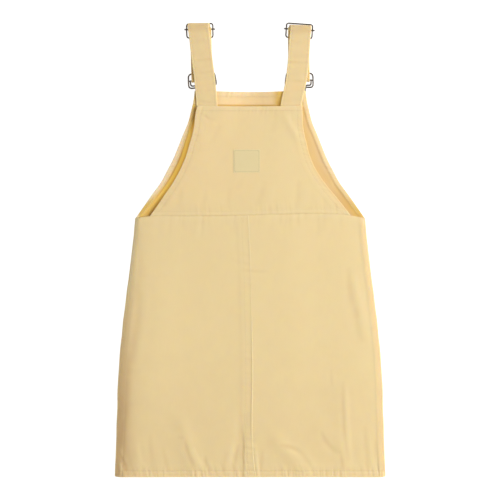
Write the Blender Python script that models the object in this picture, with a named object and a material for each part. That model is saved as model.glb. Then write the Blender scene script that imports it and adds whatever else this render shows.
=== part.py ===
"""Child's dungaree skirt with a bib and two shoulder straps, laid flat on its front.

Its back is up, so the layers from the surface up are the front skirt and front bib, the front
runs of the straps with their wire hooks and sliders, and then the back bib and the back skirt.
X runs across the garment, Y from the hem to the shoulders and Z up from the surface. The origin
is the middle of the bottom of the bounding box. All the sizes below are in millimetres.
"""

import math

import bmesh
import bpy
import numpy as np

MM = 0.001

# Driving dimensions.
LENGTH = 681.0
HEM_Y = -LENGTH / 2
CLOTH = 1.2            # wall of one panel of twill
GAP = 0.3              # clearance between neighbouring pieces
TURN = 0.9             # extra thickness of a turned hem, on its inner side
STEP = 0.5             # run of the slope down from a hem's edge
SKIRT_HEM = 10.0
BIB_HEM = 7.0
SIDE_NOSE = 1.6        # radius of the nose of a side fold
SIDE_SEAM_IN = 11.5    # side seam, in from the side fold, on the back
HEM_END = 8.0          # the front hem's extra ply fades out this far in from the side nose
HEM_FADE = 2.0
WAIST_EASE = 90.0      # the waist seam's curve dies out over this height of the skirt
BIB_EASE = 40.0        # the same for a bib's low and high edges
BAND = 13.0            # felled band beside the centre-back seam
BAND_RISE = 0.6
STRAP_WIDTH = 31.6
STRAP = 1.3            # wall of a strap, two plies pressed together
STRAP_START_Y = 198.0  # sewn end of a strap, under the back bib's top hem
FOLD_RADIUS = 3.55     # middle line of the strap where it folds over at the shoulder
SLIDER_WIRE = 1.0      # radius of a slider's frame
SLIDER_BAR = 1.1       # radius of its centre bar
HOOK_WIRE = 1.1        # radius of a hook's frame
HOOK_BAR = 1.0         # radius of its cross bar
HOOK_LOOP = 1.05       # radius of its keyhole wire
BUTTON_RADIUS = 8.5
SHANK_RADIUS = 2.0
PATCH_WIDTH = 40.0
PATCH_HEIGHT = 34.5
PATCH_CENTRE = (-5.2, 132.4)
PATCH_WALL = 0.6

# Where the wires lie above the surface.
BUTTON_FLOOR = 0.2
BUTTON_FACE = 2.4
HOOK_LEVEL = 3.8
LOOP_DROP = 0.1        # the keyhole wire lies this much lower than the frame
HOOK_TOP_LEVEL = 1.35
SLIDER_BAR_LEVEL = 4.6
SLIDER_TOP_LEVEL = 1.9
SLIDER_LOW_LEVEL = 1.25
BIB_CORNER_LIFT = 5.2  # the front bib's corners ride on the hooks
CORNER_X = 70.0        # middle line of that lift, on both sides
CORNER_CALM = 14.0     # full lift within this distance of the middle line
CORNER_SPREAD = 76.0   # no lift beyond this one
CORNER_RISE_Y = (112.0, 208.0)  # the lift starts and ends its rise at these heights

# The back bib's middle dips between the two straps, and its armhole edges droop a little.
DIP = 1.1
DIP_HALF = (16.0, 44.0)      # full depth within the first distance from the middle line, none past the other
DIP_Y = (150.0, 214.0)
DROOP = 0.4
DROOP_IN = 16.0              # how far in from the armhole edge the droop starts
DROOP_Y = (150.0, 190.0)     # full below the first height, none above the second
DROOP_RISE = 25.0            # it grows over this height above the waist seam

# Top edges of the bibs: height at the middle line, how much the corners rise and their reach.
FRONT_BIB_TOP = (236.7, 1.3, 83.0)
BACK_BIB_TOP = (214.2, 0.8, 78.8)
ARMHOLE_HEM = 6.5            # hem of the front bib's armholes


def table(columns, *rows):
    """Rows of numbers as a dictionary of named columns."""
    return dict(zip(columns, np.array(rows, dtype=float).T))


# The skirt from hem to waist: half width, height of the back's middle and of its shoulders
# beside the side folds, and the slope in degrees of the cloth where each side fold starts.
SKIRT = table(
    ("y", "half_width", "middle", "shoulder", "left_slope", "right_slope"),
    (-340.5, 203.0, 4.9, 5.8, 19, 30),
    (-264.0, 200.3, 4.0, 5.8, 18, 28),
    (-177.0, 197.0, 3.8, 5.8, 20, 28),
    (-120.0, 192.0, 3.8, 5.8, 22, 30),
    (-68.7, 185.7, 3.9, 5.8, 25, 32),
    (-10.8, 178.3, 4.2, 5.7, 29, 33),
    (47.7, 172.3, 5.0, 5.6, 33, 34),
)

FRONT_BIB = table(
    ("y", "half_width"),
    (49.8, 171.5), (66.6, 158.5), (85.0, 145.5), (100.0, 134.5), (118.4, 124.5), (138.0, 114.5),
    (155.0, 107.5), (171.6, 100.8), (190.0, 93.0), (207.0, 88.5), (222.0, 85.0), (238.0, 83.0),
)

BACK_BIB = table(
    ("y", "half_width"),
    (52.7, 150.2), (68.0, 138.3), (83.4, 127.1), (97.4, 117.3), (111.5, 108.9), (125.4, 101.9),
    (141.0, 95.6), (157.7, 90.8), (171.6, 86.6), (185.6, 83.7), (204.0, 81.6), (214.6, 78.8),
)

# Height of the back bib's outer face above the surface, by distance up from the waist seam.
BIB_CROWN = table(
    ("rise", "height"),
    (0, 5.6), (9, 6.6), (24, 8.2), (49, 9.9), (79, 10.8), (114, 11.4), (146, 11.7), (164, 11.7),
)

BACK_WAIST = table(
    ("x", "y"),
    (-172.3, 47.6), (-150, 50.3), (-90, 51.0), (-23, 51.6), (35, 53.1), (93, 54.5), (144.5, 52.2),
    (172.3, 47.6),
)

FRONT_WAIST = table(
    ("x", "y"),
    (-172.3, 47.6), (-150, 50.8), (-75, 51.8), (0, 52.0), (75, 51.8), (150, 50.8), (172.3, 47.6),
)

CENTRE_SEAM = table(
    ("y", "x"),
    (-338, 8.9), (-315, 6.0), (-271, 3.8), (-185, 4.7), (-98, 3.2), (-32, 1.7), (50, -2.1),
)

# Broad folds of the back skirt: a line from its top to its low end, half width and height.
SKIRT_FOLDS = table(
    ("x_top", "y_top", "x_low", "y_low", "half_width", "height"),
    (154, -50, 171, -128, 10, 0.6),
    (-101, -262, -84, -330, 12, 1.0),
    (40, -285, 80, -330, 11, 0.9),
    (104, -262, 134, -292, 12, 0.6),
    (139, -205, 141, -335, 10, 0.4),
    (-13, -255, -21, -312, 9, -0.6),
    (-130, -60, -150, -230, 28, 0.6),
    (60, 20, 75, -150, 30, 0.6),
    (-40, -120, -55, -250, 34, -0.5),
    (-192, -300, -178, -336, 8, -0.8),
)

# Broad folds of the back bib, in the same columns.
BIB_FOLDS = table(
    ("x_top", "y_top", "x_low", "y_low", "half_width", "height"),
    (52, 196, 72, 165, 7, 0.5),
    (-118, 66, -60, 60, 9, 0.4),
    (46, 62, 110, 66, 9, 0.4),
    (-30, 190, -45, 90, 26, -0.4),
    (40, 150, 25, 80, 26, 0.4),
)

# One row for each side. Strap columns are the middle line's X: at the sewn end, at the back
# bib's edge, at the hook's height on the back run, half-way, at the fold, on the front run under
# the slider, and at the hook. The fold columns are the strap's top edge and the fold's level.
SIDES = {
    "left": {
        "start_x": -64.2, "edge_x": -64.6, "hook_high_x": -68.0, "half_way_x": -71.9, "fold_x": -78.0,
        "slider_x": -73.9, "hook_low_x": -72.0,
        "fold_y": 339.3, "fold_level": 5.85,
        "slider_place": (-75.5, 329.8), "slider_turn": 1.0,
        "hook_place": (-72.2, 254.6), "hook_turn": 7.0,
    },
    "right": {
        "start_x": 60.2, "edge_x": 60.8, "hook_high_x": 69.0, "half_way_x": 72.2, "fold_x": 75.9,
        "slider_x": 72.5, "hook_low_x": 73.3,
        "fold_y": 336.5, "fold_level": 4.9,
        "slider_place": (73.6, 329.41), "slider_turn": -4.0,
        "hook_place": (73.8, 254.9), "hook_turn": -3.0,
    },
}

# A slider in plan, about the middle of its centre bar.
SLIDER_HALF_WIDTH = 19.6
SLIDER_TOP = 9.1
SLIDER_LOW = -12.1
SLIDER_CORNER = 4.0
SLIDER_BAR_END = 22.3

# A hook in plan, about the middle of its cross bar.
HOOK_TOP = 10.6
HOOK_LOW = -11.0
HOOK_TOP_HALF = 19.5
HOOK_SIDE_HALF = 20.4
HOOK_LOW_HALF = 21.2
HOOK_CORNER = 5.5
LOOP_BAR = -7.8
LOOP_SIDE = 17.6
KEYHOLE_WIDE = 9.6
KEYHOLE_NARROW = 3.5
KEYHOLE_LEVELS = (-15.0, -23.0, -31.0)
SHANK_PLACE = -35.3

# Finishes: sRGB colour, roughness and metallic value.
TWILL = ("E9D29C", 0.9, 0.0)
TWILL_PATCH = ("E4D09C", 0.9, 0.0)
NICKEL = ("8C8580", 0.35, 1.0)


def smooth_curve(places, values, at):
    """Cubic through the points, each slope being the mean of its neighbours' slopes."""
    slopes = np.gradient(values, places)
    at = np.clip(at, places[0], places[-1])
    left = np.clip(np.searchsorted(places, at) - 1, 0, len(places) - 2)
    span = places[left + 1] - places[left]
    t = (at - places[left]) / span
    start = (2 * t ** 3 - 3 * t ** 2 + 1) * values[left]
    start_slope = (t ** 3 - 2 * t ** 2 + t) * span * slopes[left]
    end = (3 * t ** 2 - 2 * t ** 3) * values[left + 1]
    end_slope = (t ** 3 - t ** 2) * span * slopes[left + 1]
    return start + start_slope + end + end_slope


def ramp(low, high, value):
    """0 below low, 1 above high, with a smooth step between; low may be above high."""
    t = np.clip((value - low) / (high - low), 0, 1)
    return t * t * (3 - 2 * t)


def fold_height(folds, x, y):
    """Sum of soft ridges and troughs, each a bell across the distance to its own line."""
    total = np.zeros(np.broadcast(x, y).shape)
    for i in range(len(folds["x_top"])):
        run_x = folds["x_low"][i] - folds["x_top"][i]
        run_y = folds["y_low"][i] - folds["y_top"][i]
        past_x = x - folds["x_top"][i]
        past_y = y - folds["y_top"][i]
        along = (past_x * run_x + past_y * run_y) / (run_x ** 2 + run_y ** 2)
        along = np.clip(along, 0, 1)
        distance_squared = (past_x - along * run_x) ** 2 + (past_y - along * run_y) ** 2
        total += folds["height"][i] * np.exp(-distance_squared / folds["half_width"][i] ** 2)
    return total


def skirt_at(column, y):
    """One column of the skirt's table at height y."""
    return smooth_curve(SKIRT["y"], SKIRT[column], y)


def side_angle(x, y):
    """Slope of the cloth where the side fold on that side starts, in radians."""
    degrees = np.where(x < 0, skirt_at("left_slope", y), skirt_at("right_slope", y))
    return np.radians(degrees)


def skirt_top(x, y):
    """Outer face of the back skirt: a calm middle, raised shoulders and folds, rolling down at the sides."""
    reach = np.abs(x)
    half = skirt_at("half_width", y)
    shoulder = skirt_at("shoulder", y)
    middle = skirt_at("middle", y)
    plateau = middle + (shoulder - middle) * ramp(0.45 * half, half - 22, reach)
    plateau = plateau + fold_height(SKIRT_FOLDS, x, y)
    angle = side_angle(x, y)
    foot_x = half - SIDE_NOSE * (1 - np.sin(angle))
    foot_z = SIDE_NOSE * (1 + np.cos(angle))
    roll = 2 * (shoulder - foot_z) / np.tan(angle)
    climb = np.clip((foot_x - reach) / roll, 0, 1)
    return foot_z + (plateau - foot_z) * (1 - (1 - climb) ** 2)


def bib_top(x, y):
    """Outer face of the back bib: it rises from the waist seam to the straps, lower in its middle."""
    rise = y - smooth_curve(BACK_WAIST["x"], BACK_WAIST["y"], x)
    height = smooth_curve(BIB_CROWN["rise"], BIB_CROWN["height"], rise)
    dip = DIP * (1 - ramp(*DIP_HALF, np.abs(x))) * ramp(*DIP_Y, y)
    edge = smooth_curve(BACK_BIB["y"], BACK_BIB["half_width"], y) - np.abs(x)
    droop = DROOP * ramp(DROOP_IN, 0, edge) * (1 - ramp(*DROOP_Y, y)) * ramp(0, DROOP_RISE, rise)
    return height - dip - droop + fold_height(BIB_FOLDS, x, y)


def front_lift(x, y):
    """Height of the front bib's outer face, which is down: flat, but its corners lie over the hooks."""
    beside = np.abs(np.abs(x) - CORNER_X)
    return BIB_CORNER_LIFT * ramp(CORNER_SPREAD, CORNER_CALM, beside) * ramp(*CORNER_RISE_Y, y)


def bib_top_edge(top, x):
    """Height in Y of a bib's top edge, which rises a little to its corners."""
    middle, rise, reach = top
    return middle + rise * (x / reach) ** 2


def linear_colour(srgb):
    """An sRGB hex colour as linear values with full alpha."""
    values = []
    for start in (0, 2, 4):
        level = int(srgb[start:start + 2], 16) / 255
        values.append(level / 12.92 if level <= 0.04045 else ((level + 0.055) / 1.055) ** 2.4)
    return (*values, 1.0)


def principled(name, finish):
    """A Principled material from a colour, a roughness and a metallic value."""
    colour, roughness, metallic = finish
    material = bpy.data.materials.new(name)
    material.use_nodes = True
    shader = material.node_tree.nodes["Principled BSDF"]
    shader.inputs["Base Color"].default_value = linear_colour(colour)
    shader.inputs["Roughness"].default_value = roughness
    shader.inputs["Metallic"].default_value = metallic
    return material


def add_object(name, vertices, faces, finish):
    """A closed mesh object from points in millimetres, with its faces turned outwards."""
    mesh = bpy.data.meshes.new(name)
    mesh.from_pydata((np.asarray(vertices) * MM).tolist(), [], faces)
    work = bmesh.new()
    work.from_mesh(mesh)
    bmesh.ops.recalc_face_normals(work, faces=work.faces)
    work.to_mesh(mesh)
    work.free()
    mesh.materials.append(principled(name + "_finish", finish))
    mesh.shade_smooth()
    mesh.set_sharp_from_angle(angle=math.radians(35))
    body = bpy.data.objects.new(name, mesh)
    bpy.context.collection.objects.link(body)
    return body


def add_wall(name, outer, inner, finish):
    """A closed wall between two grids of points of the same shape."""
    rows, columns = outer.shape[:2]
    vertices = np.concatenate([outer.reshape(-1, 3), inner.reshape(-1, 3)])
    count = rows * columns
    faces = []
    for r in range(rows - 1):
        for c in range(columns - 1):
            corner = r * columns + c
            quad = (corner, corner + 1, corner + columns + 1, corner + columns)
            faces.append(quad)
            faces.append(tuple(count + v for v in reversed(quad)))
    rim = [c for c in range(columns)]
    rim += [r * columns + columns - 1 for r in range(1, rows)]
    rim += [(rows - 1) * columns + c for c in range(columns - 2, -1, -1)]
    rim += [r * columns for r in range(rows - 2, 0, -1)]
    for here, ahead in zip(rim, rim[1:] + rim[:1]):
        faces.append((here, here + count, ahead + count, ahead))
    return add_object(name, vertices, faces, finish)


def hem_share(distance, depth):
    """1 inside a turned hem and 0 past its edge, by the distance in from the garment's edge."""
    return np.clip((depth + STEP - distance) / STEP, 0, 1)


def row_heights(top, count):
    """Nominal rows from a top edge down to the hem, with both sides of the hem's step."""
    hem_top = HEM_Y + SKIRT_HEM + STEP
    return np.concatenate([np.linspace(top, hem_top, count), [HEM_Y + SKIRT_HEM, HEM_Y]])


def hem_corner(x, y, half):
    """Small rise of the hem's edge where it turns round the side folds."""
    return 2.2 * ramp(half - 9, half + 2, np.abs(x)) * ramp(HEM_Y + SKIRT_HEM, HEM_Y, y)


def back_skirt_grid(x, y):
    """Outer and inner points of the back skirt over plan points x, y, with the hem turned inside."""
    slope = skirt_top(x + 0.5, y) - skirt_top(x - 0.5, y)
    z = skirt_top(x, y)
    wall = CLOTH + TURN * hem_share(y - HEM_Y, SKIRT_HEM)
    length = np.sqrt(1 + slope ** 2)
    top_y = SKIRT["y"][-1]
    waist = smooth_curve(BACK_WAIST["x"], BACK_WAIST["y"], x)
    share = ramp(top_y - WAIST_EASE, top_y, y)
    real_y = y + (waist - GAP / 2 - top_y) * share + hem_corner(x, y, skirt_at("half_width", y))
    outer = np.stack([x, real_y, z], axis=-1)
    inner = np.stack([x + wall * slope / length, real_y, z - wall / length], axis=-1)
    return outer, inner


def build_back_skirt():
    """Both halves of the back skirt; the left one carries the raised band of the felled seam."""
    rows = row_heights(SKIRT["y"][-1], 21)
    spread = np.linspace(0, 1, 15) ** 1.5
    seam = smooth_curve(CENTRE_SEAM["y"], CENTRE_SEAM["x"], rows)
    side = skirt_at("half_width", rows) - SIDE_SEAM_IN - GAP

    band_left = seam - GAP / 2 - BAND
    plain = -side[:, None] + (band_left - STEP + side)[:, None] * spread[None, :]
    band = np.stack([band_left, seam - GAP / 2 - BAND / 2, seam - GAP / 2], axis=1)
    x = np.concatenate([plain, band], axis=1)
    outer, inner = back_skirt_grid(x, np.broadcast_to(rows[:, None], x.shape))
    outer[:, -3:, 2] += BAND_RISE
    add_wall("back_skirt_left", outer, inner, TWILL)

    right = seam + GAP / 2
    x = side[:, None] - (side - right)[:, None] * spread[None, :]
    outer, inner = back_skirt_grid(x, np.broadcast_to(rows[:, None], x.shape))
    add_wall("back_skirt_right", outer, inner, TWILL)


def front_skirt_section(y):
    """The front skirt at one height: plan x, z and outward direction from seam to seam round both sides."""
    half = float(skirt_at("half_width", y))
    parts = []
    for sign in (-1.0, 1.0):
        angle = float(side_angle(np.array(sign), y))
        foot = half - SIDE_NOSE * (1 - math.sin(angle))
        seam = half - SIDE_SEAM_IN
        top_x = sign * (seam + (foot - seam) * np.array([0, 0.3, 0.6, 0.85]))
        slope = (skirt_top(top_x + 0.05, y) - skirt_top(top_x - 0.05, y)) / 0.1
        length = np.sqrt(1 + slope ** 2)
        top = np.stack([top_x, skirt_top(top_x, y), -slope / length, 1 / length], axis=-1)
        turn = np.linspace(math.pi / 2 - angle, -math.pi / 2, 7)
        nose = np.stack([
            sign * (half - SIDE_NOSE + SIDE_NOSE * np.cos(turn)),
            SIDE_NOSE + SIDE_NOSE * np.sin(turn),
            sign * np.cos(turn),
            np.sin(turn),
        ], axis=-1)
        parts.append(np.concatenate([top, nose]))
    edge = half - SIDE_NOSE
    fade = edge - HEM_END - HEM_FADE * np.array([0, 1])
    flat_x = np.concatenate([-fade, np.linspace(-0.66, 0.66, 5) * edge, fade[::-1]])
    flat = np.stack([flat_x, 0 * flat_x, 0 * flat_x, 0 * flat_x - 1], axis=-1)
    return np.concatenate([parts[0], flat, parts[1][::-1]])


def build_front_skirt():
    """The front skirt: flat on the surface, its side edges folded up and over onto the back."""
    rows = row_heights(SKIRT["y"][-1], 19)
    outer = []
    inner = []
    for y in rows:
        section = front_skirt_section(y)
        x, z, out_x, out_z = section.T
        half = float(skirt_at("half_width", y))
        level = z < 1e-6
        ply_end = half - SIDE_NOSE - HEM_END
        hem = hem_share(y - HEM_Y, SKIRT_HEM) * ramp(ply_end, ply_end - HEM_FADE, np.abs(x)) * level
        wall = CLOTH + TURN * hem
        front = smooth_curve(FRONT_WAIST["x"], FRONT_WAIST["y"], x)
        back = smooth_curve(BACK_WAIST["x"], BACK_WAIST["y"], x)
        edge_y = np.where(level, front, back) - GAP / 2
        top_y = SKIRT["y"][-1]
        real_y = y + (edge_y - top_y) * ramp(top_y - WAIST_EASE, top_y, y) + hem_corner(x, y, half)
        outer.append(np.stack([x, real_y, z], axis=-1))
        inner.append(np.stack([x - wall * out_x, real_y, z - wall * out_z], axis=-1))
    add_wall("front_skirt", np.array(outer), np.array(inner), TWILL)


def bib_plan(widths, low, high, hem_columns, count_across, count_up):
    """Plan points of a bib: rows up its armhole edges, with columns at both sides of each hem's step."""
    lowest = widths["y"][0]
    highest = widths["y"][-1]
    rows = np.linspace(lowest, highest - BIB_HEM - STEP, count_up)
    rows = np.concatenate([rows, [highest - BIB_HEM, highest]])
    half = smooth_curve(widths["y"], widths["half_width"], rows)
    inside = hem_columns + STEP
    x = []
    for reach in half:
        middle = np.linspace(-reach + inside, reach - inside, count_across)
        x.append(np.concatenate([[-reach, -reach + hem_columns], middle, [reach - hem_columns, reach]]))
    x = np.array(x)
    y = np.broadcast_to(rows[:, None], x.shape)
    low_share = ramp(lowest + BIB_EASE, lowest, y)
    high_share = ramp(highest - BIB_EASE, highest, y)
    real_y = y + (low(x) - lowest) * low_share + (high(x) - highest) * high_share
    edge = half[:, None] - np.abs(x)
    hem = np.maximum(hem_share(edge, hem_columns), hem_share(highest - y, BIB_HEM))
    return x, real_y, hem


def build_front_bib():
    """The front bib, face down, with turned hems on its armholes and top."""
    def low(x):
        return smooth_curve(FRONT_WAIST["x"], FRONT_WAIST["y"], x) + GAP / 2

    def high(x):
        return bib_top_edge(FRONT_BIB_TOP, x)

    x, y, hem = bib_plan(FRONT_BIB, low, high, ARMHOLE_HEM, 15, 16)
    lift = front_lift(x, y)
    outer = np.stack([x, y, lift], axis=-1)
    inner = np.stack([x, y, lift + CLOTH + TURN * hem], axis=-1)
    add_wall("front_bib", outer, inner, TWILL)


def build_back_bib():
    """The back bib, raised over the straps' sewn ends, with turned hems on its armholes and top."""
    def low(x):
        return smooth_curve(BACK_WAIST["x"], BACK_WAIST["y"], x) + GAP / 2

    def high(x):
        return bib_top_edge(BACK_BIB_TOP, x)

    x, y, hem = bib_plan(BACK_BIB, low, high, BIB_HEM, 17, 15)
    z = bib_top(x, y)
    outer = np.stack([x, y, z], axis=-1)
    inner = np.stack([x, y, z - CLOTH - TURN * hem], axis=-1)
    add_wall("back_bib", outer, inner, TWILL)


def build_patch():
    """The plain patch on the back bib, made from the bib's own face moved out."""
    x = np.linspace(-0.5, 0.5, 8) * PATCH_WIDTH + PATCH_CENTRE[0]
    y = np.linspace(-0.5, 0.5, 7) * PATCH_HEIGHT + PATCH_CENTRE[1]
    x, y = np.meshgrid(x, y)
    z = bib_top(x, y) + GAP
    outer = np.stack([x, y, z + PATCH_WALL], axis=-1)
    inner = np.stack([x, y, z], axis=-1)
    add_wall("label_patch", outer, inner, TWILL_PATCH)


def arc(centre, radius, start, end, count):
    """Points (y, z) on an arc about a centre, angles in degrees from the +Y direction."""
    turn = np.radians(np.linspace(start, end, count))
    return np.stack([centre[0] + radius * np.cos(turn), centre[1] + radius * np.sin(turn)], axis=-1)


def run_of(x, y, z, skew):
    """Rows of (x, y, z, skew) for one stretch of a strap; x and skew may be single numbers."""
    return np.stack(np.broadcast_arrays(x, y, z, skew), axis=-1).astype(float)


def strap_path(side):
    """Middle line of a strap, from its sewn end to its end at the slider.

    Each row is (x, y, z, skew). The skew is how far Y grows across the strap for each unit of X,
    so that a stretch can follow the turned slider or hook that it goes round.
    """
    row = SIDES[side]
    slider_skew = math.tan(math.radians(row["slider_turn"]))
    hook_skew = math.tan(math.radians(row["hook_turn"]))
    slider_y = row["slider_place"][1] + (row["slider_x"] - row["slider_place"][0]) * slider_skew
    hook_y = row["hook_place"][1] + (row["hook_low_x"] - row["hook_place"][0]) * hook_skew
    low_bar_y = slider_y + SLIDER_LOW
    top_bar_y = hook_y + HOOK_TOP
    fold = (row["fold_y"] - STRAP / 2 - FOLD_RADIUS, row["fold_level"])
    bar_radius = SLIDER_BAR + GAP + STRAP / 2
    hook_radius = HOOK_BAR + GAP + STRAP / 2

    def skew(y):
        return np.interp(y, [top_bar_y + 4, low_bar_y - 5], [hook_skew, slider_skew])

    def low_x(y):
        return np.interp(y, [hook_y, low_bar_y], [row["hook_low_x"], row["slider_x"]])

    # The back run, from under the back bib's hem up to the fold.
    keys = table(
        ("y", "x", "z"),
        (STRAP_START_Y, row["start_x"], 8.35),
        (214.0, row["edge_x"], 8.35),
        (hook_y, row["hook_high_x"], 8.3),
        (284.7, row["half_way_x"], 8.3),
        (318.0, 0.4 * row["half_way_x"] + 0.6 * row["fold_x"], 8.35),
        (fold[0], row["fold_x"], fold[1] + FOLD_RADIUS),
    )
    y = np.linspace(STRAP_START_Y, fold[0], 18)
    back = run_of(smooth_curve(keys["y"], keys["x"], y), y, smooth_curve(keys["y"], keys["z"], y), 0)

    # Over the shoulder, inwards to the front run's place.
    turn = arc(fold, FOLD_RADIUS, 90, -90, 9)[1:]
    share = np.linspace(0, 1, 9)[1:]
    over_x = row["fold_x"] + (row["slider_x"] - row["fold_x"]) * share * 0.6
    over = run_of(over_x, turn[:, 0], turn[:, 1], slider_skew * share)

    # The front run: under the slider's centre bar, over its low bar and over the hook's top bar.
    under_slider = SLIDER_BAR_LEVEL - bar_radius - STRAP - GAP
    over_slider = SLIDER_LOW_LEVEL + SLIDER_WIRE + GAP + STRAP / 2
    over_hook = HOOK_TOP_LEVEL + HOOK_WIRE + GAP + STRAP / 2
    rest = GAP + STRAP / 2
    keys = table(
        ("y", "z"),
        (slider_y, under_slider),
        (low_bar_y + 6, under_slider + 0.7),
        (low_bar_y + 1, over_slider),
        (low_bar_y - 1, over_slider),
        (low_bar_y - 8, rest + 0.8),
        (low_bar_y - 16, rest),
        (top_bar_y + 12, rest),
        (top_bar_y + 5, rest + 1.2),
        (top_bar_y + 0.8, over_hook),
        (top_bar_y - 0.8, over_hook),
        (hook_y + 5, over_hook - 1.0),
        (hook_y, HOOK_LEVEL - hook_radius),
    )
    front = run_of(low_x(keys["y"]), keys["y"], keys["z"], skew(keys["y"]))

    # Round the hook's cross bar.
    turn = arc((hook_y, HOOK_LEVEL), hook_radius, 270, 90, 8)[1:]
    loop = run_of(row["hook_low_x"], turn[:, 0], turn[:, 1], hook_skew)

    # Back up between the front and back runs.
    bar_top = SLIDER_BAR_LEVEL + bar_radius
    keys = table(
        ("y", "z"),
        (top_bar_y - 4, HOOK_LEVEL + hook_radius - 0.1),
        (top_bar_y, 5.4),
        (top_bar_y + 8, 4.2),
        (top_bar_y + 20, 3.4),
        (low_bar_y - 12, 3.6),
        (low_bar_y, 5.5),
        (slider_y - 6, bar_top - 0.3),
        (slider_y, bar_top),
    )
    up = run_of(low_x(keys["y"]), keys["y"], keys["z"], skew(keys["y"]))

    # Round the slider's centre bar, with a short end turned back under.
    turn = arc((slider_y, SLIDER_BAR_LEVEL), bar_radius, 90, -90, 8)[1:]
    round_bar = run_of(row["slider_x"], turn[:, 0], turn[:, 1], slider_skew)
    bar_foot = SLIDER_BAR_LEVEL - bar_radius
    end_y = slider_y - np.array([4.0, 7.5])
    end = run_of(row["slider_x"], end_y, bar_foot + np.array([0.45, 1.35]), slider_skew)
    return np.concatenate([back, over, front, loop, up, round_bar, end])


def build_strap(side):
    """A strap: a flat ribbon of two plies carried along its middle line."""
    path = strap_path(side)
    step = np.gradient(path[:, 1:3], axis=0)
    step /= np.linalg.norm(step, axis=1)[:, None]
    normal = np.stack([-step[:, 1], step[:, 0]], axis=-1)
    faces_of_ribbon = []
    for sign in (1, -1):
        lines = []
        for off in np.array([-1 / 2, -1 / 6, 1 / 6, 1 / 2]) * STRAP_WIDTH:
            x = path[:, 0] + off
            y = path[:, 1] + sign * STRAP / 2 * normal[:, 0] + path[:, 3] * off
            z = path[:, 2] + sign * STRAP / 2 * normal[:, 1]
            lines.append(np.stack([x, y, z], axis=-1))
        faces_of_ribbon.append(np.array(lines).transpose(1, 0, 2))
    add_wall("strap_" + side, faces_of_ribbon[0], faces_of_ribbon[1], TWILL)


def rounded_path(corners, cut, closed, count=4):
    """Plan path through corners, each one rounded by a parabola that starts and ends a cut away from it."""
    corners = [np.array(corner, dtype=float) for corner in corners]
    path = []
    for i, corner in enumerate(corners):
        if not closed and i in (0, len(corners) - 1):
            path.append(corner)
            continue
        before = corners[i - 1] - corner
        after = corners[(i + 1) % len(corners)] - corner
        start = corner + before / np.linalg.norm(before) * min(cut, np.linalg.norm(before) / 2.1)
        end = corner + after / np.linalg.norm(after) * min(cut, np.linalg.norm(after) / 2.1)
        for t in np.linspace(0, 1, count + 1):
            path.append((1 - t) ** 2 * start + 2 * t * (1 - t) * corner + t ** 2 * end)
    return np.array(path)


def wire_mesh(path, radius, closed, sides=8):
    """Points and faces of a round wire along a path; its ends are capped unless the path is closed."""
    ahead = np.roll(path, -1, axis=0) - path
    behind = path - np.roll(path, 1, axis=0)
    if not closed:
        ahead[-1] = behind[-1]
        behind[0] = ahead[0]
    ahead /= np.linalg.norm(ahead, axis=1)[:, None]
    behind /= np.linalg.norm(behind, axis=1)[:, None]
    forward = ahead + behind
    forward /= np.linalg.norm(forward, axis=1)[:, None]
    sideways = np.cross(forward, (0.0, 0.0, 1.0))
    sideways /= np.linalg.norm(sideways, axis=1)[:, None]
    upwards = np.cross(sideways, forward)
    turn = np.arange(sides) * 2 * math.pi / sides + math.pi / sides
    turn = turn[None, :, None]
    ring = np.cos(turn) * sideways[:, None, :] + np.sin(turn) * upwards[:, None, :]
    vertices = (path[:, None, :] + radius * ring).reshape(-1, 3)
    count = len(path)
    faces = []
    for i in range(count if closed else count - 1):
        for k in range(sides):
            here = i * sides
            there = (i + 1) % count * sides
            faces.append((here + k, here + (k + 1) % sides, there + (k + 1) % sides, there + k))
    if not closed:
        faces.append(tuple(range(sides)))
        faces.append(tuple((count - 1) * sides + k for k in reversed(range(sides))))
    return vertices, faces


def placed(plan, level, place, turn):
    """Plan points turned and moved to their place, at the height that level gives for each."""
    angle = math.radians(turn)
    x = place[0] + plan[:, 0] * math.cos(angle) - plan[:, 1] * math.sin(angle)
    y = place[1] + plan[:, 0] * math.sin(angle) + plan[:, 1] * math.cos(angle)
    return np.stack([x, y, level(plan[:, 1])], axis=-1)


def build_wirework(name, wires):
    """One body of metal from wires (path, radius, closed): the first is the object, the others join it."""
    body = add_object(name, *wire_mesh(*wires[0]), NICKEL)
    for number, (path, radius, closed) in enumerate(wires[1:], start=1):
        other = add_object(f"{name}_wire_{number}", *wire_mesh(path, radius, closed), NICKEL)
        other.hide_render = True
        other.display_type = "WIRE"
        join = body.modifiers.new(f"join_wire_{number}", "BOOLEAN")
        join.operation = "UNION"
        join.object = other


def slider_level(across):
    """Height of a slider's wire: highest at the centre bar, low at both ends."""
    end_level = np.where(across < 0, SLIDER_LOW_LEVEL, SLIDER_TOP_LEVEL)
    reach = np.clip(across / np.where(across < 0, SLIDER_LOW, SLIDER_TOP), 0, 1)
    return SLIDER_BAR_LEVEL - (SLIDER_BAR_LEVEL - end_level) * reach ** 1.4


def build_slider(side):
    """A slider: a rounded frame and a centre bar whose ends stand out through its sides."""
    row = SIDES[side]
    wide = SLIDER_HALF_WIDTH
    corners = [(wide, 0), (wide, SLIDER_TOP), (-wide, SLIDER_TOP), (-wide, 0), (-wide, SLIDER_LOW),
               (wide, SLIDER_LOW)]
    frame = rounded_path(corners, SLIDER_CORNER, closed=True)
    bar = np.array([(-SLIDER_BAR_END, 0.1), (SLIDER_BAR_END, 0.1)])
    wires = [
        (placed(frame, slider_level, row["slider_place"], row["slider_turn"]), SLIDER_WIRE, True),
        (placed(bar, slider_level, row["slider_place"], row["slider_turn"]), SLIDER_BAR, False),
    ]
    build_wirework("slider_" + side, wires)


def hook_level(up):
    """Height of a hook's wire: level, then bent down to its top bar, which lies under the strap."""
    return HOOK_LEVEL - (HOOK_LEVEL - HOOK_TOP_LEVEL) * ramp(0.5, HOOK_TOP, up)


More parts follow.
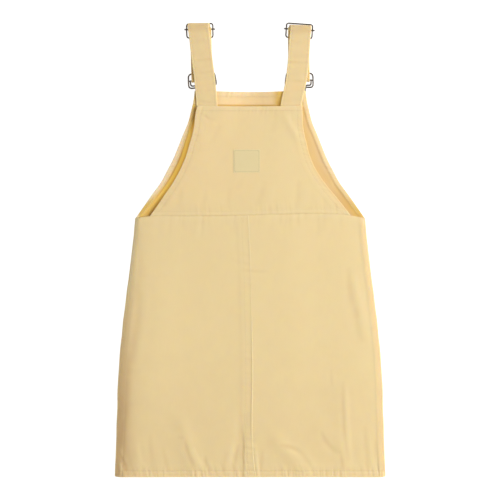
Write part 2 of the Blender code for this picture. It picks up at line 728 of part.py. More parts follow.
def loop_level(up):
    """Height of a hook's keyhole wire."""
    return hook_level(up) - LOOP_DROP


def build_hook(side):
    """A hook: a frame with a cross bar, and an inner wire that runs down into the keyhole loop."""
    row = SIDES[side]
    frame = rounded_path([(HOOK_TOP_HALF, HOOK_TOP), (-HOOK_TOP_HALF, HOOK_TOP), (-HOOK_SIDE_HALF, 0),
                          (-HOOK_LOW_HALF, HOOK_LOW), (HOOK_LOW_HALF, HOOK_LOW), (HOOK_SIDE_HALF, 0)],
                         HOOK_CORNER, closed=True)
    bar = np.array([(-HOOK_SIDE_HALF, 0.0), (HOOK_SIDE_HALF, 0.0)])
    upper, waist, lower = KEYHOLE_LEVELS
    left_half = [(-LOOP_SIDE, 0.2), (-LOOP_SIDE, LOOP_BAR), (-KEYHOLE_WIDE, LOOP_BAR), (-KEYHOLE_WIDE, upper),
                 (-KEYHOLE_WIDE, waist), (-KEYHOLE_NARROW, lower)]
    bottom = SHANK_PLACE - KEYHOLE_NARROW - 0.6
    loop_corners = left_half + [(-KEYHOLE_NARROW, bottom), (KEYHOLE_NARROW, bottom)]
    loop_corners += [(-x, y) for x, y in reversed(left_half)]
    loop = rounded_path(loop_corners, 3.2, closed=False, count=3)
    wires = [
        (placed(frame, hook_level, row["hook_place"], row["hook_turn"]), HOOK_WIRE, True),
        (placed(bar, hook_level, row["hook_place"], row["hook_turn"]), HOOK_BAR, False),
        (placed(loop, loop_level, row["hook_place"], row["hook_turn"]), HOOK_LOOP, False),
    ]
    build_wirework("hook_" + side, wires)


def build_button(side):
    """A shank button on the front bib: a domed head, face down, and a shank through the keyhole."""
    row = SIDES[side]
    centre = placed(np.array([[0.0, SHANK_PLACE]]), hook_level, row["hook_place"], row["hook_turn"])[0]
    top = BIB_CORNER_LIFT - GAP
    profile = [(4.2, BUTTON_FLOOR + 0.12), (7.2, BUTTON_FLOOR + 0.5), (8.3, BUTTON_FLOOR + 1.0),
               (BUTTON_RADIUS, BUTTON_FLOOR + 1.5), (8.2, BUTTON_FACE - 0.15), (7.6, BUTTON_FACE),
               (SHANK_RADIUS, BUTTON_FACE), (SHANK_RADIUS, top)]
    sides = 20
    turn = np.arange(sides) * 2 * math.pi / sides
    rings = []
    for radius, z in profile:
        ring_x = centre[0] + radius * np.cos(turn)
        ring_y = centre[1] + radius * np.sin(turn)
        rings.append(np.stack([ring_x, ring_y, np.full(sides, z)], axis=-1))
    vertices = np.concatenate(rings + [[(centre[0], centre[1], BUTTON_FLOOR)]])
    faces = []
    for i in range(len(profile) - 1):
        for k in range(sides):
            ahead = (k + 1) % sides
            faces.append((i * sides + k, i * sides + ahead, (i + 1) * sides + ahead, (i + 1) * sides + k))
    middle = len(vertices) - 1
    for k in range(sides):
        faces.append((middle, (k + 1) % sides, k))
    faces.append(tuple((len(profile) - 1) * sides + k for k in range(sides)))
    add_object("bib_button_" + side, vertices, faces, NICKEL)


def main():
    """Build every piece of the skirt."""
    for old in list(bpy.data.objects):
        bpy.data.objects.remove(old)
    build_front_skirt()
    build_front_bib()
    build_back_skirt()
    build_back_bib()
    build_patch()
    for side in SIDES:
        build_strap(side)
        build_slider(side)
        build_hook(side)
        build_button(side)


main()
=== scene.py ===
"""Looks of a child's overall skirt that lies on its front, with its back up.

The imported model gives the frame. Each cloth panel is replaced by a fine shell on the same form,
with its creases, seams, hems and sewing, and each piece of wirework by a smoother one. Sizes are
in millimetres, in the model's frame: X across, Y from hem to shoulders, Z up from the surface.
"""

import logging
import math
from collections.abc import Callable
from dataclasses import dataclass, field
from enum import Enum

import bpy
import numpy as np
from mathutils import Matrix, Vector


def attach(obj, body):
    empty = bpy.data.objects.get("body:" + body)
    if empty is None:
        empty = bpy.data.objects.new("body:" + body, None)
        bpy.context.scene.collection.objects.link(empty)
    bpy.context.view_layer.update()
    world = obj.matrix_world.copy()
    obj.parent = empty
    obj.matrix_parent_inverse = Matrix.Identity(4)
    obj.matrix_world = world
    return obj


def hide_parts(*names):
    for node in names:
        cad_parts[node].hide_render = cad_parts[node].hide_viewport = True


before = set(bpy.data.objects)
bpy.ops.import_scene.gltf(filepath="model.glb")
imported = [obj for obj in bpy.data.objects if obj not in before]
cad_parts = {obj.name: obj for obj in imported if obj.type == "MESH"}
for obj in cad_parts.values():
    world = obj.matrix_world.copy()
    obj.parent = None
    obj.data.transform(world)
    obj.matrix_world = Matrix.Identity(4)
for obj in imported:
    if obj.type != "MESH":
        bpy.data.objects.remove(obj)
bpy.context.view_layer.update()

Array = np.ndarray
Table = dict[str, Array]
Mesh = tuple[Array, Array]      # points and quads
Height = Callable[[Array, Array], Array]
Pair = tuple[float, float]
Triple = tuple[float, float, float]
Object = bpy.types.Object
Material = bpy.types.Material

MM = 0.001
PER_METRE = (1000, 1000, 1000)      # makes a pattern's coordinates millimetres
BODY = "root"

log = logging.getLogger("overall_skirt")

# Lasting sizes of the garment, the same as in the solids.
HEM_Y = -340.5
WAIST_Y = 47.7
CLOTH = 1.2            # thickness of one layer
TURN = 0.9             # what a turned hem adds to it
GAP = 0.3              # air between a strap and a wire
SKIRT_HEM = 10.0
BIB_HEM = 7.0
ARMHOLE_HEM = 6.5
SIDE_NOSE = 1.6        # radius of the fold down each side
SIDE_SEAM_IN = 11.5    # from that fold to the side seam
WAIST_EASE = 90.0      # depth over which level rows bend to follow the waist seam
BIB_EASE = 40.0
BAND = 13.0            # width of the felled centre-back seam
BAND_RISE = 0.6
STRAP_WIDTH = 31.6
STRAP = 1.3

# Sizes of the dressed cloth alone.
SEAM = 0.01            # half the gap that shows between two panels sewn together
CLOSE_ROWS = 14.0      # height of the strip by the hem that has closer rows
ROW_POINTS = 300       # points along a line of sewing
EDGE_STEPS = (0.12, 0.35, 0.8, 1.8)    # close steps in from an edge, for its round rim


def table(columns: tuple[str, ...], *rows: tuple[float, ...]) -> Table:
    """Rows of numbers as a dictionary of named columns."""
    return dict(zip(columns, np.array(rows, dtype=float).T))


SKIRT = table(
    ("y", "half_width", "middle", "shoulder", "left_slope", "right_slope"),
    (-340.5, 203.0, 4.9, 5.8, 19, 30),
    (-264.0, 200.3, 4.0, 5.8, 18, 28),
    (-177.0, 197.0, 3.8, 5.8, 20, 28),
    (-120.0, 192.0, 3.8, 5.8, 22, 30),
    (-68.7, 185.7, 3.9, 5.8, 25, 32),
    (-10.8, 178.3, 4.2, 5.7, 29, 33),
    (47.7, 172.3, 5.0, 5.6, 33, 34),
)

FRONT_BIB = table(
    ("y", "half_width"),
    (49.8, 171.5), (66.6, 158.5), (85.0, 145.5), (100.0, 134.5), (118.4, 124.5), (138.0, 114.5),
    (155.0, 107.5), (171.6, 100.8), (190.0, 93.0), (207.0, 88.5), (222.0, 85.0), (238.0, 83.0),
)

BACK_BIB = table(
    ("y", "half_width"),
    (52.7, 150.2), (68.0, 138.3), (83.4, 127.1), (97.4, 117.3), (111.5, 108.9), (125.4, 101.9),
    (141.0, 95.6), (157.7, 90.8), (171.6, 86.6), (185.6, 83.7), (204.0, 81.6), (214.6, 78.8),
)

# How far the back bib's right edge lies in from where the left one would be.
BIB_TUCK = table(
    ("y", "in"),
    (52.7, 0.0), (68.0, 1.0), (83.4, 2.5), (104.0, 5.0), (127.0, 6.8), (150.0, 6.5), (172.0, 5.5),
    (195.0, 4.5), (206.0, 3.3), (214.6, 1.0),
)

BIB_CROWN = table(
    ("rise", "height"),
    (0, 5.6), (9, 6.6), (24, 8.2), (49, 9.9), (79, 10.8), (114, 11.4), (146, 11.7), (164, 11.7),
)

BACK_WAIST = table(
    ("x", "y"),
    (-172.3, 47.6), (-150, 50.3), (-90, 51.0), (-23, 51.6), (35, 53.1), (93, 54.5), (144.5, 52.2),
    (172.3, 47.6),
)

FRONT_WAIST = table(
    ("x", "y"),
    (-172.3, 47.6), (-150, 50.8), (-75, 51.8), (0, 52.0), (75, 51.8), (150, 50.8), (172.3, 47.6),
)

CENTRE_SEAM = table(
    ("y", "x"),
    (-338, 8.9), (-315, 6.0), (-271, 3.8), (-185, 4.7), (-98, 3.2), (-32, 1.7), (50, -2.1),
)

# Folds and creases: a line from its top to its low end, the half width and height of the bell
# across it, how far it bows to its left, and 1 where it starts at full depth, as at a seam.
FOLD_COLUMNS = ("x_top", "y_top", "x_low", "y_low", "half_width", "height", "bow", "starts")

SKIRT_FOLDS = table(
    FOLD_COLUMNS[:6],
    (154, -50, 171, -128, 10, 0.6),
    (-101, -262, -84, -330, 12, 1.0),
    (40, -285, 80, -330, 11, 0.9),
    (104, -262, 134, -292, 12, 0.6),
    (139, -205, 141, -335, 10, 0.4),
    (-13, -255, -21, -312, 9, -0.6),
    (-130, -60, -150, -230, 28, 0.6),
    (60, 20, 75, -150, 30, 0.6),
    (-40, -120, -55, -250, 34, -0.5),
    (-192, -300, -178, -336, 8, -0.8),
)

BIB_FOLDS = table(
    FOLD_COLUMNS[:6],
    (52, 196, 72, 165, 7, 0.5),
    (-118, 66, -60, 60, 9, 0.4),
    (46, 62, 110, 66, 9, 0.4),
    (-30, 190, -45, 90, 26, -0.4),
    (40, 150, 25, 80, 26, 0.4),
)

SKIRT_CREASES = table(
    FOLD_COLUMNS,
    # Soft pleats that hang from the waist seam.
    (-134, 49, -141, -22, 7, -0.30, 3, 1),
    (-119, 50, -121, 8, 4.0, -0.32, 0, 1),
    (-99, 51, -101, 22, 3.4, -0.26, 0, 1),
    (-84, 51, -83, 30, 3.0, -0.22, 0, 1),
    (-70, 51, -72, 12, 3.6, -0.48, 0, 1),
    (-63, 51, -61, 20, 3.0, -0.34, 0, 1),
    (-76, 40, -80, 14, 3.0, 0.22, 0, 0),
    (-36, 51, -34, 30, 3.2, -0.14, 0, 1),
    (28, 52, 12, 14, 6.0, 0.30, 2, 1),
    (46, 53, 44, 26, 3.2, -0.44, 0, 1),
    (52, 53, 50, 12, 3.0, -0.30, 1, 1),
    (58, 53, 60, 24, 3.2, -0.32, 0, 1),
    (72, 53, 73, 26, 3.2, -0.34, 0, 1),
    (84, 53, 86, 34, 3.0, -0.20, 0, 1),
    (102, 53, 101, 2, 4.6, -0.34, 1, 1),
    (111, 53, 110, 12, 3.4, -0.26, 0, 1),
    (134, 52, 138, 22, 4.0, -0.20, 0, 1),
    # A crease across the middle, and the long drag line by the right side.
    (-16, -30.5, 29, -32.5, 1.9, -0.24, -0.8, 0),
    (-30, -14, -2, -24, 3.0, -0.10, 0, 0),
    (147, -24, 158, -104, 5.5, -0.62, -3, 0),
    (158, -86, 168, -140, 5.0, -0.42, -2, 0),
    (168, -60, 180, -118, 5.5, 0.30, -2, 0),
    # The left side's hollow and the ridge along it.
    (-168, 32, -178, -90, 6.5, -0.50, 6, 0),
    (-163, -60, -188, -190, 7.0, -0.85, 5, 0),
    (-184, -150, -196, -300, 7.0, -0.75, 3, 0),
    (-158, -40, -176, -180, 9.0, 0.55, 5, 0),
    (-176, -170, -186, -320, 8.0, 0.45, 3, 0),
    (-188, -250, -199, -336, 3.4, -0.50, -2, 0),
    # The left corner of the hem, drawn together.
    (-201, -300, -187, -333, 3.0, -1.2, 2, 0),
    (-194, -314, -191, -341, 2.6, 1.1, 0, 0),
    (-197, -322, -199, -341, 2.4, -0.9, 0, 0),
    # Creases that gather at the hem.
    (-98, -284, -79, -333, 3.0, -0.62, -3, 0),
    (-110, -281, -98, -282, 2.0, -0.20, 0, 0),
    (-86, -296, -66, -332, 3.0, 0.30, -2, 0),
    (-68, -308, -63, -331, 2.6, -0.46, -1, 0),
    (-18, -291, -26, -333, 3.2, -0.52, -1, 0),
    (-34, -300, -41, -332, 4.0, -0.24, -1, 0),
    (42, -292, 92, -327, 3.6, -0.60, 9, 0),
    (52, -300, 104, -333, 4.4, 0.30, 8, 0),
    (106, -270, 134, -306, 3.2, -0.42, -5, 0),
    (121, -178, 122, -206, 1.8, -0.24, 0, 0),
    (139, -196, 147, -318, 2.8, -0.42, -3, 0),
    (146, -206, 152, -330, 3.6, 0.26, -3, 0),
    (134, -300, 139, -333, 2.2, -0.36, 0, 0),
    (-150, -276, -144, -331, 3.8, -0.30, -2, 0),
    (-168, -288, -158, -333, 3.4, 0.30, -2, 0),
    (-131, -296, -122, -331, 3.0, -0.26, -1, 0),
    (171, -262, 178, -334, 3.6, -0.34, -1, 0),
    (186, -282, 190, -335, 2.6, -0.40, 0, 0),
    (18, -296, 14, -333, 2.8, -0.24, 1, 0),
)

BIB_CREASES = table(
    FOLD_COLUMNS,
    (-76, 205, -56, 188, 2.6, -0.36, 1, 0),
    (-72, 198, -50, 184, 2.4, 0.20, 1, 0),
    (-46, 188, -62, 156, 4.4, -0.30, 2, 0),
    (-78, 176, -86, 130, 4.4, -0.22, 2, 0),
    (38, 206, 30, 172, 4.6, -0.32, 2, 0),
    (56, 202, 70, 168, 3.6, 0.30, -2, 0),
    (21, 104, 9, 64, 5.0, -0.36, 2, 0),
    (34, 98, 24, 60, 5.0, 0.24, 2, 0),
    (72, 106, 69, 60, 4.6, -0.34, 1, 0),
    (84, 100, 84, 62, 4.6, 0.22, 1, 0),
    (-104, 96, -108, 60, 4.4, -0.26, 1, 0),
    (-66, 92, -70, 58, 4.4, -0.24, 0, 0),
    (-30, 94, -34, 58, 4.2, -0.24, 0, 0),
    (-8, 112, -20, 88, 4.0, -0.16, 0, 0),
    (108, 80, 118, 60, 4.0, -0.24, 0, 0),
)

# The underside and the front bib's inside get their own, of the same kind.
FRONT_CREASES = table(
    FOLD_COLUMNS,
    (-108, 50, -112, 4, 4.2, 0.42, 0, 1),
    (-66, 51, -69, 16, 3.6, 0.36, 0, 1),
    (-31, 52, -30, 26, 3.2, 0.26, 0, 1),
    (22, 52, 25, 20, 3.6, 0.34, 0, 1),
    (63, 52, 61, 8, 4.0, 0.44, 1, 1),
    (104, 51, 108, 24, 3.4, 0.30, 0, 1),
    (141, 50, 146, -8, 4.2, 0.36, -2, 1),
    (-150, -30, -166, -140, 7.0, 0.60, 4, 0),
    (150, -70, 163, -190, 7.0, 0.55, -4, 0),
    (-60, -150, -75, -262, 9.0, 0.40, 4, 0),
    (46, -118, 58, -230, 9.0, 0.40, -3, 0),
    (-120, -262, -106, -331, 4.0, 0.50, -3, 0),
    (-70, -288, -62, -332, 3.2, 0.40, -1, 0),
    (-9, -280, -4, -332, 3.6, 0.42, 1, 0),
    (58, -276, 70, -331, 3.6, 0.46, -2, 0),
    (118, -262, 128, -332, 4.0, 0.50, -3, 0),
    (168, -280, 172, -334, 3.4, 0.40, 0, 0),
)

FRONT_BIB_CREASES = table(
    FOLD_COLUMNS,
    (-150, 66, -120, 92, 5.0, 0.34, 2, 0),
    (-128, 90, -110, 128, 4.4, 0.30, 2, 0),
    (124, 92, 106, 132, 4.4, 0.34, -2, 0),
    (139, 76, 122, 104, 4.0, -0.30, -2, 0),
    (112, 130, 99, 164, 4.0, 0.30, -2, 0),
    (-60, 226, -52, 214, 3.0, -0.20, 0, 0),
    (20, 228, 24, 214, 3.0, 0.18, 0, 0),
    (-40, 100, -52, 62, 6.0, 0.30, 2, 0),
    (50, 110, 44, 64, 6.0, 0.30, -2, 0),
)


class Face(Enum):
    """Which way a panel's outer face looks."""

    UP = 1
    DOWN = -1


# ---- Curves and fields ----


def smooth_curve(places: Array, values: Array, at: Array | float) -> Array:
    """Cubic through the points, with the mean of the neighbours' slopes as each point's slope.

    Args:
        places: Rising places of the points.
        values: Values there.
        at: Places to read, held inside the range.

    Returns:
        The curve's values at those places.
    """
    slopes = np.gradient(values, places)
    at = np.clip(at, places[0], places[-1])
    left = np.clip(np.searchsorted(places, at) - 1, 0, len(places) - 2)
    span = places[left + 1] - places[left]
    t = (at - places[left]) / span
    start = (2 * t ** 3 - 3 * t ** 2 + 1) * values[left]
    start = start + (t ** 3 - 2 * t ** 2 + t) * span * slopes[left]
    end = (3 * t ** 2 - 2 * t ** 3) * values[left + 1] + (t ** 3 - t ** 2) * span * slopes[left + 1]
    return start + end


def curve_at(points: Table, at: Array | float) -> Array:
    """A smooth curve through a table's points: its second column, at places of its first."""
    places, values = points.values()
    return smooth_curve(places, values, at)


def ramp(low: Array | float, high: Array | float, value: Array) -> Array:
    """Smooth step 3t^2 - 2t^3 from 0 at low to 1 at high; low may be above high."""
    t = np.clip((value - low) / (high - low), 0, 1)
    return t * t * (3 - 2 * t)


def bell(distance: Array, half_width: float) -> Array:
    """exp(-(d/w)^2), a soft ridge across a line."""
    return np.exp(-(distance / half_width) ** 2)


def fold_height(folds: Table, x: Array, y: Array) -> Array:
    """Broad folds: each a bell of the distance to its own line, ends included.

    Args:
        folds: Rows of the first six fold columns.
        x, y: Places across and along.

    Returns:
        The sum of the folds' heights.
    """
    total = np.zeros(np.broadcast(x, y).shape)
    for x0, y0, x1, y1, width, height in zip(*(folds[name] for name in FOLD_COLUMNS[:6])):
        run = np.array([x1 - x0, y1 - y0])
        along = np.clip(((x - x0) * run[0] + (y - y0) * run[1]) / run.dot(run), 0, 1)
        off = np.hypot(x - x0 - along * run[0], y - y0 - along * run[1])
        total += height * bell(off, width)
    return total


def crease_height(creases: Table, x: Array, y: Array) -> Array:
    """Creases that bow and fade out along their length.

    Along its line, 0 to 1, a crease's height is 4t(1 - t) to the power 0.7, or 1 at once and then
    fading where it starts at a seam. Across, it is a bell about the line bowed by bow 4t(1 - t),
    and it widens by half to its low end.

    Args:
        creases: Rows of all the fold columns.
        x, y: Places across and along.

    Returns:
        The sum of the creases' heights.
    """
    total = np.zeros(np.broadcast(x, y).shape)
    columns = (creases[name] for name in FOLD_COLUMNS)
    for x0, y0, x1, y1, width, height, bow, starts in zip(*columns):
        run = np.array([x1 - x0, y1 - y0])
        length = np.hypot(*run)
        t = ((x - x0) * run[0] + (y - y0) * run[1]) / length ** 2
        hump = np.clip(4 * t * (1 - t), 0, 1)
        across = ((x - x0) * run[1] - (y - y0) * run[0]) / length + bow * hump
        fade = ramp(1.0, 0.1, t) * (t > -6 / length) if starts else hump ** 0.7
        total += height * fade * np.exp(-(across / (width * (1 + 0.5 * np.clip(t, 0, 1)))) ** 2)
    return total


def unevenness(x: Array, y: Array, size: float, seed: int) -> Array:
    """Soft waves in random directions: the sum of sin(k . p + phase) over the root of their count.

    Args:
        x, y: Places across and along.
        size: About how far apart the waves are.
        seed: Seed of their directions, lengths and phases.

    Returns:
        Values of about -1 to 1.
    """
    rng = np.random.default_rng(seed)
    count = 9
    turns = rng.uniform(0, math.pi, count)
    waves = 2 * math.pi / (size * rng.uniform(0.7, 1.5, count))
    phases = rng.uniform(0, 2 * math.pi, count)
    total = np.zeros(np.broadcast(x, y).shape)
    for turn, wave, phase in zip(turns, waves, phases):
        total += np.sin(wave * (x * math.cos(turn) + y * math.sin(turn)) + phase)
    return total / math.sqrt(count)


def roping(along: Array, lean: Array, spacing: float, seed: int) -> Array:
    """Uneven puckers of a stitched edge: five sines of near lengths, in slow swells.

    Args:
        along: Places along the edge.
        lean: How far the waves are shifted at each place, which makes them lean.
        spacing: About how far apart the puckers are.
        seed: Seed of their phases.

    Returns:
        Values of about -1 to 1.
    """
    rng = np.random.default_rng(seed)
    total = np.zeros(np.broadcast(along, lean).shape)
    for share in (0.62, 0.85, 1.0, 1.34, 1.9):
        phase = rng.uniform(0, 2 * math.pi)
        total += np.sin(2 * math.pi * (along + lean) / (spacing * share) + phase)
    swell = 0.55 + 0.45 * np.sin(2 * math.pi * along / (spacing * 13) + rng.uniform(0, 2 * math.pi))
    return total * swell / 2.2


def lengths_along(path: Array) -> Array:
    """Length from the start of a path to each of its points."""
    return np.concatenate([[0.0], np.cumsum(np.linalg.norm(np.diff(path, axis=0), axis=1))])


def change_along(at: Array, step: float, length: Array, columns: Array) -> list[Array]:
    """Change of each of a path's columns from a step before each place to a step after it."""
    return [np.interp(at + step, length, values) - np.interp(at - step, length, values)
            for values in columns.T]


def local_mean(values: Array, radius: int) -> Array:
    """Mean of a grid over a square about each point, by running sums.

    Args:
        values: The grid.
        radius: Points from the middle of the square to its sides.

    Returns:
        A grid of the means.
    """
    for axis in (0, 1):
        pad = [(radius + 1, radius) if a == axis else (0, 0) for a in (0, 1)]
        sums = np.cumsum(np.pad(values, pad, mode="edge"), axis=axis)
        size = values.shape[axis]
        high = np.take(sums, np.arange(size) + 2 * radius + 1, axis=axis)
        low = np.take(sums, np.arange(size), axis=axis)
        values = (high - low) / (2 * radius + 1)
    return values


# ---- Meshes ----


def points_at(*places: Array | float) -> Array:
    """Points from their coordinates, which are spread to one shape."""
    return np.stack(np.broadcast_arrays(*places), axis=-1).astype(float)


def unit(vectors: Array) -> Array:
    """Vectors of length 1 in the same directions."""
    return vectors / np.linalg.norm(vectors, axis=-1)[..., None]


def surface_normals(points: Array) -> Array:
    """Unit normals of a grid of points: the cross product of its two directions."""
    normal = np.cross(np.gradient(points, axis=1), np.gradient(points, axis=0))
    return normal / np.maximum(np.linalg.norm(normal, axis=-1, keepdims=True), 1e-9)


def grid_faces(rows: int, columns: int) -> Array:
    """Quads of a grid of points."""
    corner = (np.arange(rows - 1)[:, None] * columns + np.arange(columns - 1)[None, :]).ravel()
    return np.stack([corner, corner + 1, corner + columns + 1, corner + columns], axis=1)


def shell_faces(rows: int, columns: int) -> Array:
    """Quads of two grids, one over the other, closed by a band round their rim.

    Args:
        rows: Rows of each grid.
        columns: Its columns.

    Returns:
        The first grid's quads, the second's turned over, and the band's.
    """
    rim = np.concatenate([
        np.arange(columns),
        np.arange(1, rows) * columns + columns - 1,
        (rows - 1) * columns + np.arange(columns - 2, -1, -1),
        np.arange(rows - 2, 0, -1) * columns,
    ])
    ahead, count, quads = np.roll(rim, -1), rows * columns, grid_faces(rows, columns)
    band = np.stack([rim, rim + count, ahead + count, ahead], axis=1)
    return np.concatenate([quads, quads[:, ::-1] + count, band])


def ring_faces(rings: int, sides: int, closed: bool = False) -> Array:
    """Quads between rings of points that follow one another, and back to the first where closed.

    Args:
        rings: How many rings.
        sides: Points in each.
        closed: True where the last ring joins the first.

    Returns:
        The quads, ring by ring.
    """
    i, k = np.arange(rings if closed else rings - 1)[:, None], np.arange(sides)[None, :]
    here, there, beside = i * sides, (i + 1) % rings * sides, (k + 1) % sides
    return np.stack([here + k, here + beside, there + beside, there + k], axis=-1).reshape(-1, 4)


def cap_faces(sides: int) -> Array:
    """Quads that fill one ring, from side to side."""
    half = np.arange(sides // 2 - 1)
    return np.stack([half, half + 1, sides - 2 - half, sides - 1 - half], axis=1)


def facing_out(vertices: Array, faces: Array) -> Array:
    """The quads of a closed mesh, turned round if its volume comes out negative.

    Args:
        vertices: Its points.
        faces: Its quads.

    Returns:
        The quads, all facing outwards.
    """
    a, b, c, d = (vertices[faces[:, i]] for i in range(4))
    volume = np.sum(a * np.cross(b, c)) + np.sum(a * np.cross(c, d))
    return faces if volume > 0 else faces[:, ::-1]


def add_piece(name: str, vertices: Array, faces: Array, uv: Array | None = None,
              wear_and_shade: Array | None = None, painted_shade_and_glow: Array | None = None,
              sharp_above: float = 50.0) -> Object:
    """A closed mesh piece with its faces outwards.

    Args:
        name: Name of the piece.
        vertices: Points in millimetres.
        faces: Quads.
        uv: Place of each point on the flat cloth, in millimetres, kept as the map named cloth.
        wear_and_shade: -1 in a hollow to 1 on a ridge, for each point: wear paler on ridges and
            rims, painted shade in hollows, and painted light and shade where a tint adds them.
        painted_shade_and_glow: Painted shade, 0 in the open to 1 between two layers, and a painted
            glow above 1, to 2, where light would also come through them.
        sharp_above: Edges with a larger angle than this are sharp.

    Returns:
        The object, at the origin and unturned.
    """
    faces = facing_out(vertices, faces)
    mesh = bpy.data.meshes.new(name)
    mesh.from_pydata(vertices * MM, [], faces)
    mesh.update()
    if uv is not None:
        layer = mesh.uv_layers.new(name="cloth")
        corners = np.empty(len(mesh.loops), dtype=np.int32)
        mesh.loops.foreach_get("vertex_index", corners)
        layer.data.foreach_set("uv", (uv[corners] * MM).astype(np.float32).ravel())
    for key, values in (("wear_and_shade", wear_and_shade), ("painted_shade_and_glow", painted_shade_and_glow)):
        if values is not None:
            attribute = mesh.attributes.new(key, "FLOAT", "POINT")
            attribute.data.foreach_set("value", values.astype(np.float32).ravel())
    mesh.shade_smooth()
    mesh.set_sharp_from_angle(angle=math.radians(sharp_above))
    piece = bpy.data.objects.new(name, mesh)
    bpy.context.scene.collection.objects.link(piece)
    return piece


def rounded_edge(distance: Array, wall: float) -> Array:
    """Share of the half wall near a free edge: the root of 1 - (1 - d/r)^2, kept above a third."""
    past = np.clip(distance / (wall / 2), 0, 1)
    return np.maximum(np.sqrt(1 - (1 - past) ** 2), 1 / 3)


def wear_and_shade_from(relief: Array, edge: Array, tint: Array | float = 0.0) -> Array:
    """Wear and painted shade, -1 in hollows to 1 on ridges and rims: relief above its mean, in 0.7
    mm, and a tint. Ridges and rims are paler with wear; hollows are darker, partly with the fuller
    colour that washing leaves and partly with painted shade; the tint adds painted light and shade.
    """
    raised = (relief - local_mean(relief, 4)) / 0.7
    return np.clip(raised + 0.4 * ramp(3.0, 0.0, edge) + tint, -1, 1)


def add_shell(name: str, face: Array, uv: Array, wall: Array, edge: Array, outwards: float,
              wear_and_shade: Array, painted_shade_and_glow: Array | float = 0.0, painted_shade_and_glow_inside: Array | float = 1.0,
              wear_and_shade_inside: Array | float = 0.0) -> Object:
    """A panel of cloth with a round rim, from its outer face.

    Args:
        name: Name of the piece.
        face: Grid of points of the outer face.
        uv: Grid of places on the flat cloth.
        wall: Thickness at each point.
        edge: Distance of each point to the nearest free edge.
        outwards: 1 where the grid's normals point out of the cloth's outer face, else -1.
        wear_and_shade: The outer face's wear and painted shade.
        painted_shade_and_glow: Painted shade between layers, and painted glow, on the outer face.
        painted_shade_and_glow_inside: The same on the inner face.
        wear_and_shade_inside: The inner face's wear, painted shade and painted light.

    Returns:
        The piece.
    """
    normal = surface_normals(face) * outwards
    half = np.minimum(wall, CLOTH)[..., None] / 2
    middle = face - normal * half
    share = rounded_edge(edge, CLOTH)[..., None]
    outer = middle + normal * half * share
    inner = middle - normal * (wall[..., None] - half) * share
    size = face.shape[:2]
    vertices = np.concatenate([outer.reshape(-1, 3), inner.reshape(-1, 3)])
    wears_and_shades, painted_shades_and_glows = (np.concatenate([np.broadcast_to(side, size).ravel() for side in pair])
                     for pair in ((wear_and_shade, wear_and_shade_inside), (painted_shade_and_glow, painted_shade_and_glow_inside)))
    uvs = np.tile(uv.reshape(-1, 2), (2, 1))
    return add_piece(name, vertices, shell_faces(*size), uvs, wears_and_shades, painted_shades_and_glows)


def spread_with_edges(low: float, high: float, step: float, first: tuple[float, ...]) -> Array:
    """Places from low to high, with close ones at both ends for a round rim.

    Args:
        low: First place.
        high: Last place.
        step: About how far apart the others are.
        first: How far the close ones lie in from each end.

    Returns:
        The places, rising.
    """
    inside = np.array(first)
    count = max(4, int((high - low - 2 * inside[-1]) / step))
    middle = np.linspace(low + inside[-1], high - inside[-1], count)
    return np.concatenate([[low], low + inside[:-1], middle, high - inside[:-1][::-1], [high]])


def tube(path: Array, radius: Array | float, closed: bool, sides: int = 14) -> Mesh:
    """A round wire along a path; open ends close in a dome.

    Each ring lies across the mean direction of its two neighbouring stretches:
    point = path + r (cos a . side + sin a . up).

    Args:
        path: Points of the middle line.
        radius: Radius of the wire, one or one for each point.
        closed: True where the path's end joins its start.
        sides: Points in a ring.

    Returns:
        Points and quads.
    """
    radius = np.broadcast_to(radius, (len(path),)).astype(float)
    if not closed:
        first, last = unit(path[1] - path[0]), unit(path[-1] - path[-2])
        dome = np.array([1.0, 0.92, 0.55])
        shrink = np.array([0.05, 0.45, 0.86])
        path = np.concatenate([
            path[0] - first * dome[:, None] * radius[0], path,
            path[-1] + last * dome[::-1, None] * radius[-1],
        ])
        radius = np.concatenate([shrink * radius[0], radius, shrink[::-1] * radius[-1]])
    ahead = np.roll(path, -1, axis=0) - path
    behind = path - np.roll(path, 1, axis=0)
    if not closed:
        ahead[-1], behind[0] = behind[-1], ahead[0]
    forward = unit(unit(ahead) + unit(behind))
    side = unit(np.cross(forward, (0.0, 0.0, 1.0)))
    up = np.cross(side, forward)
    turn = (np.arange(sides) * 2 * math.pi / sides)[None, :, None]
    ring = np.cos(turn) * side[:, None, :] + np.sin(turn) * up[:, None, :]
    points = (path[:, None, :] + radius[:, None, None] * ring).reshape(-1, 3)
    quads = ring_faces(len(path), sides, closed)
    if not closed:
        cap = cap_faces(sides)
        quads = np.concatenate([quads, cap, cap[:, ::-1] + (len(path) - 1) * sides])
    return points, quads


def joined(parts: list[Mesh]) -> Mesh:
    """Several meshes as one, each with its own faces turned outwards first.

    Args:
        parts: The meshes.

    Returns:
        Points and quads of them all.
    """
    points, quads, start = [], [], 0
    for vertices, faces in parts:
        points.append(vertices)
        quads.append(facing_out(vertices, faces) + start)
        start += len(vertices)
    return np.concatenate(points), np.concatenate(quads)


# ---- Sewing ----


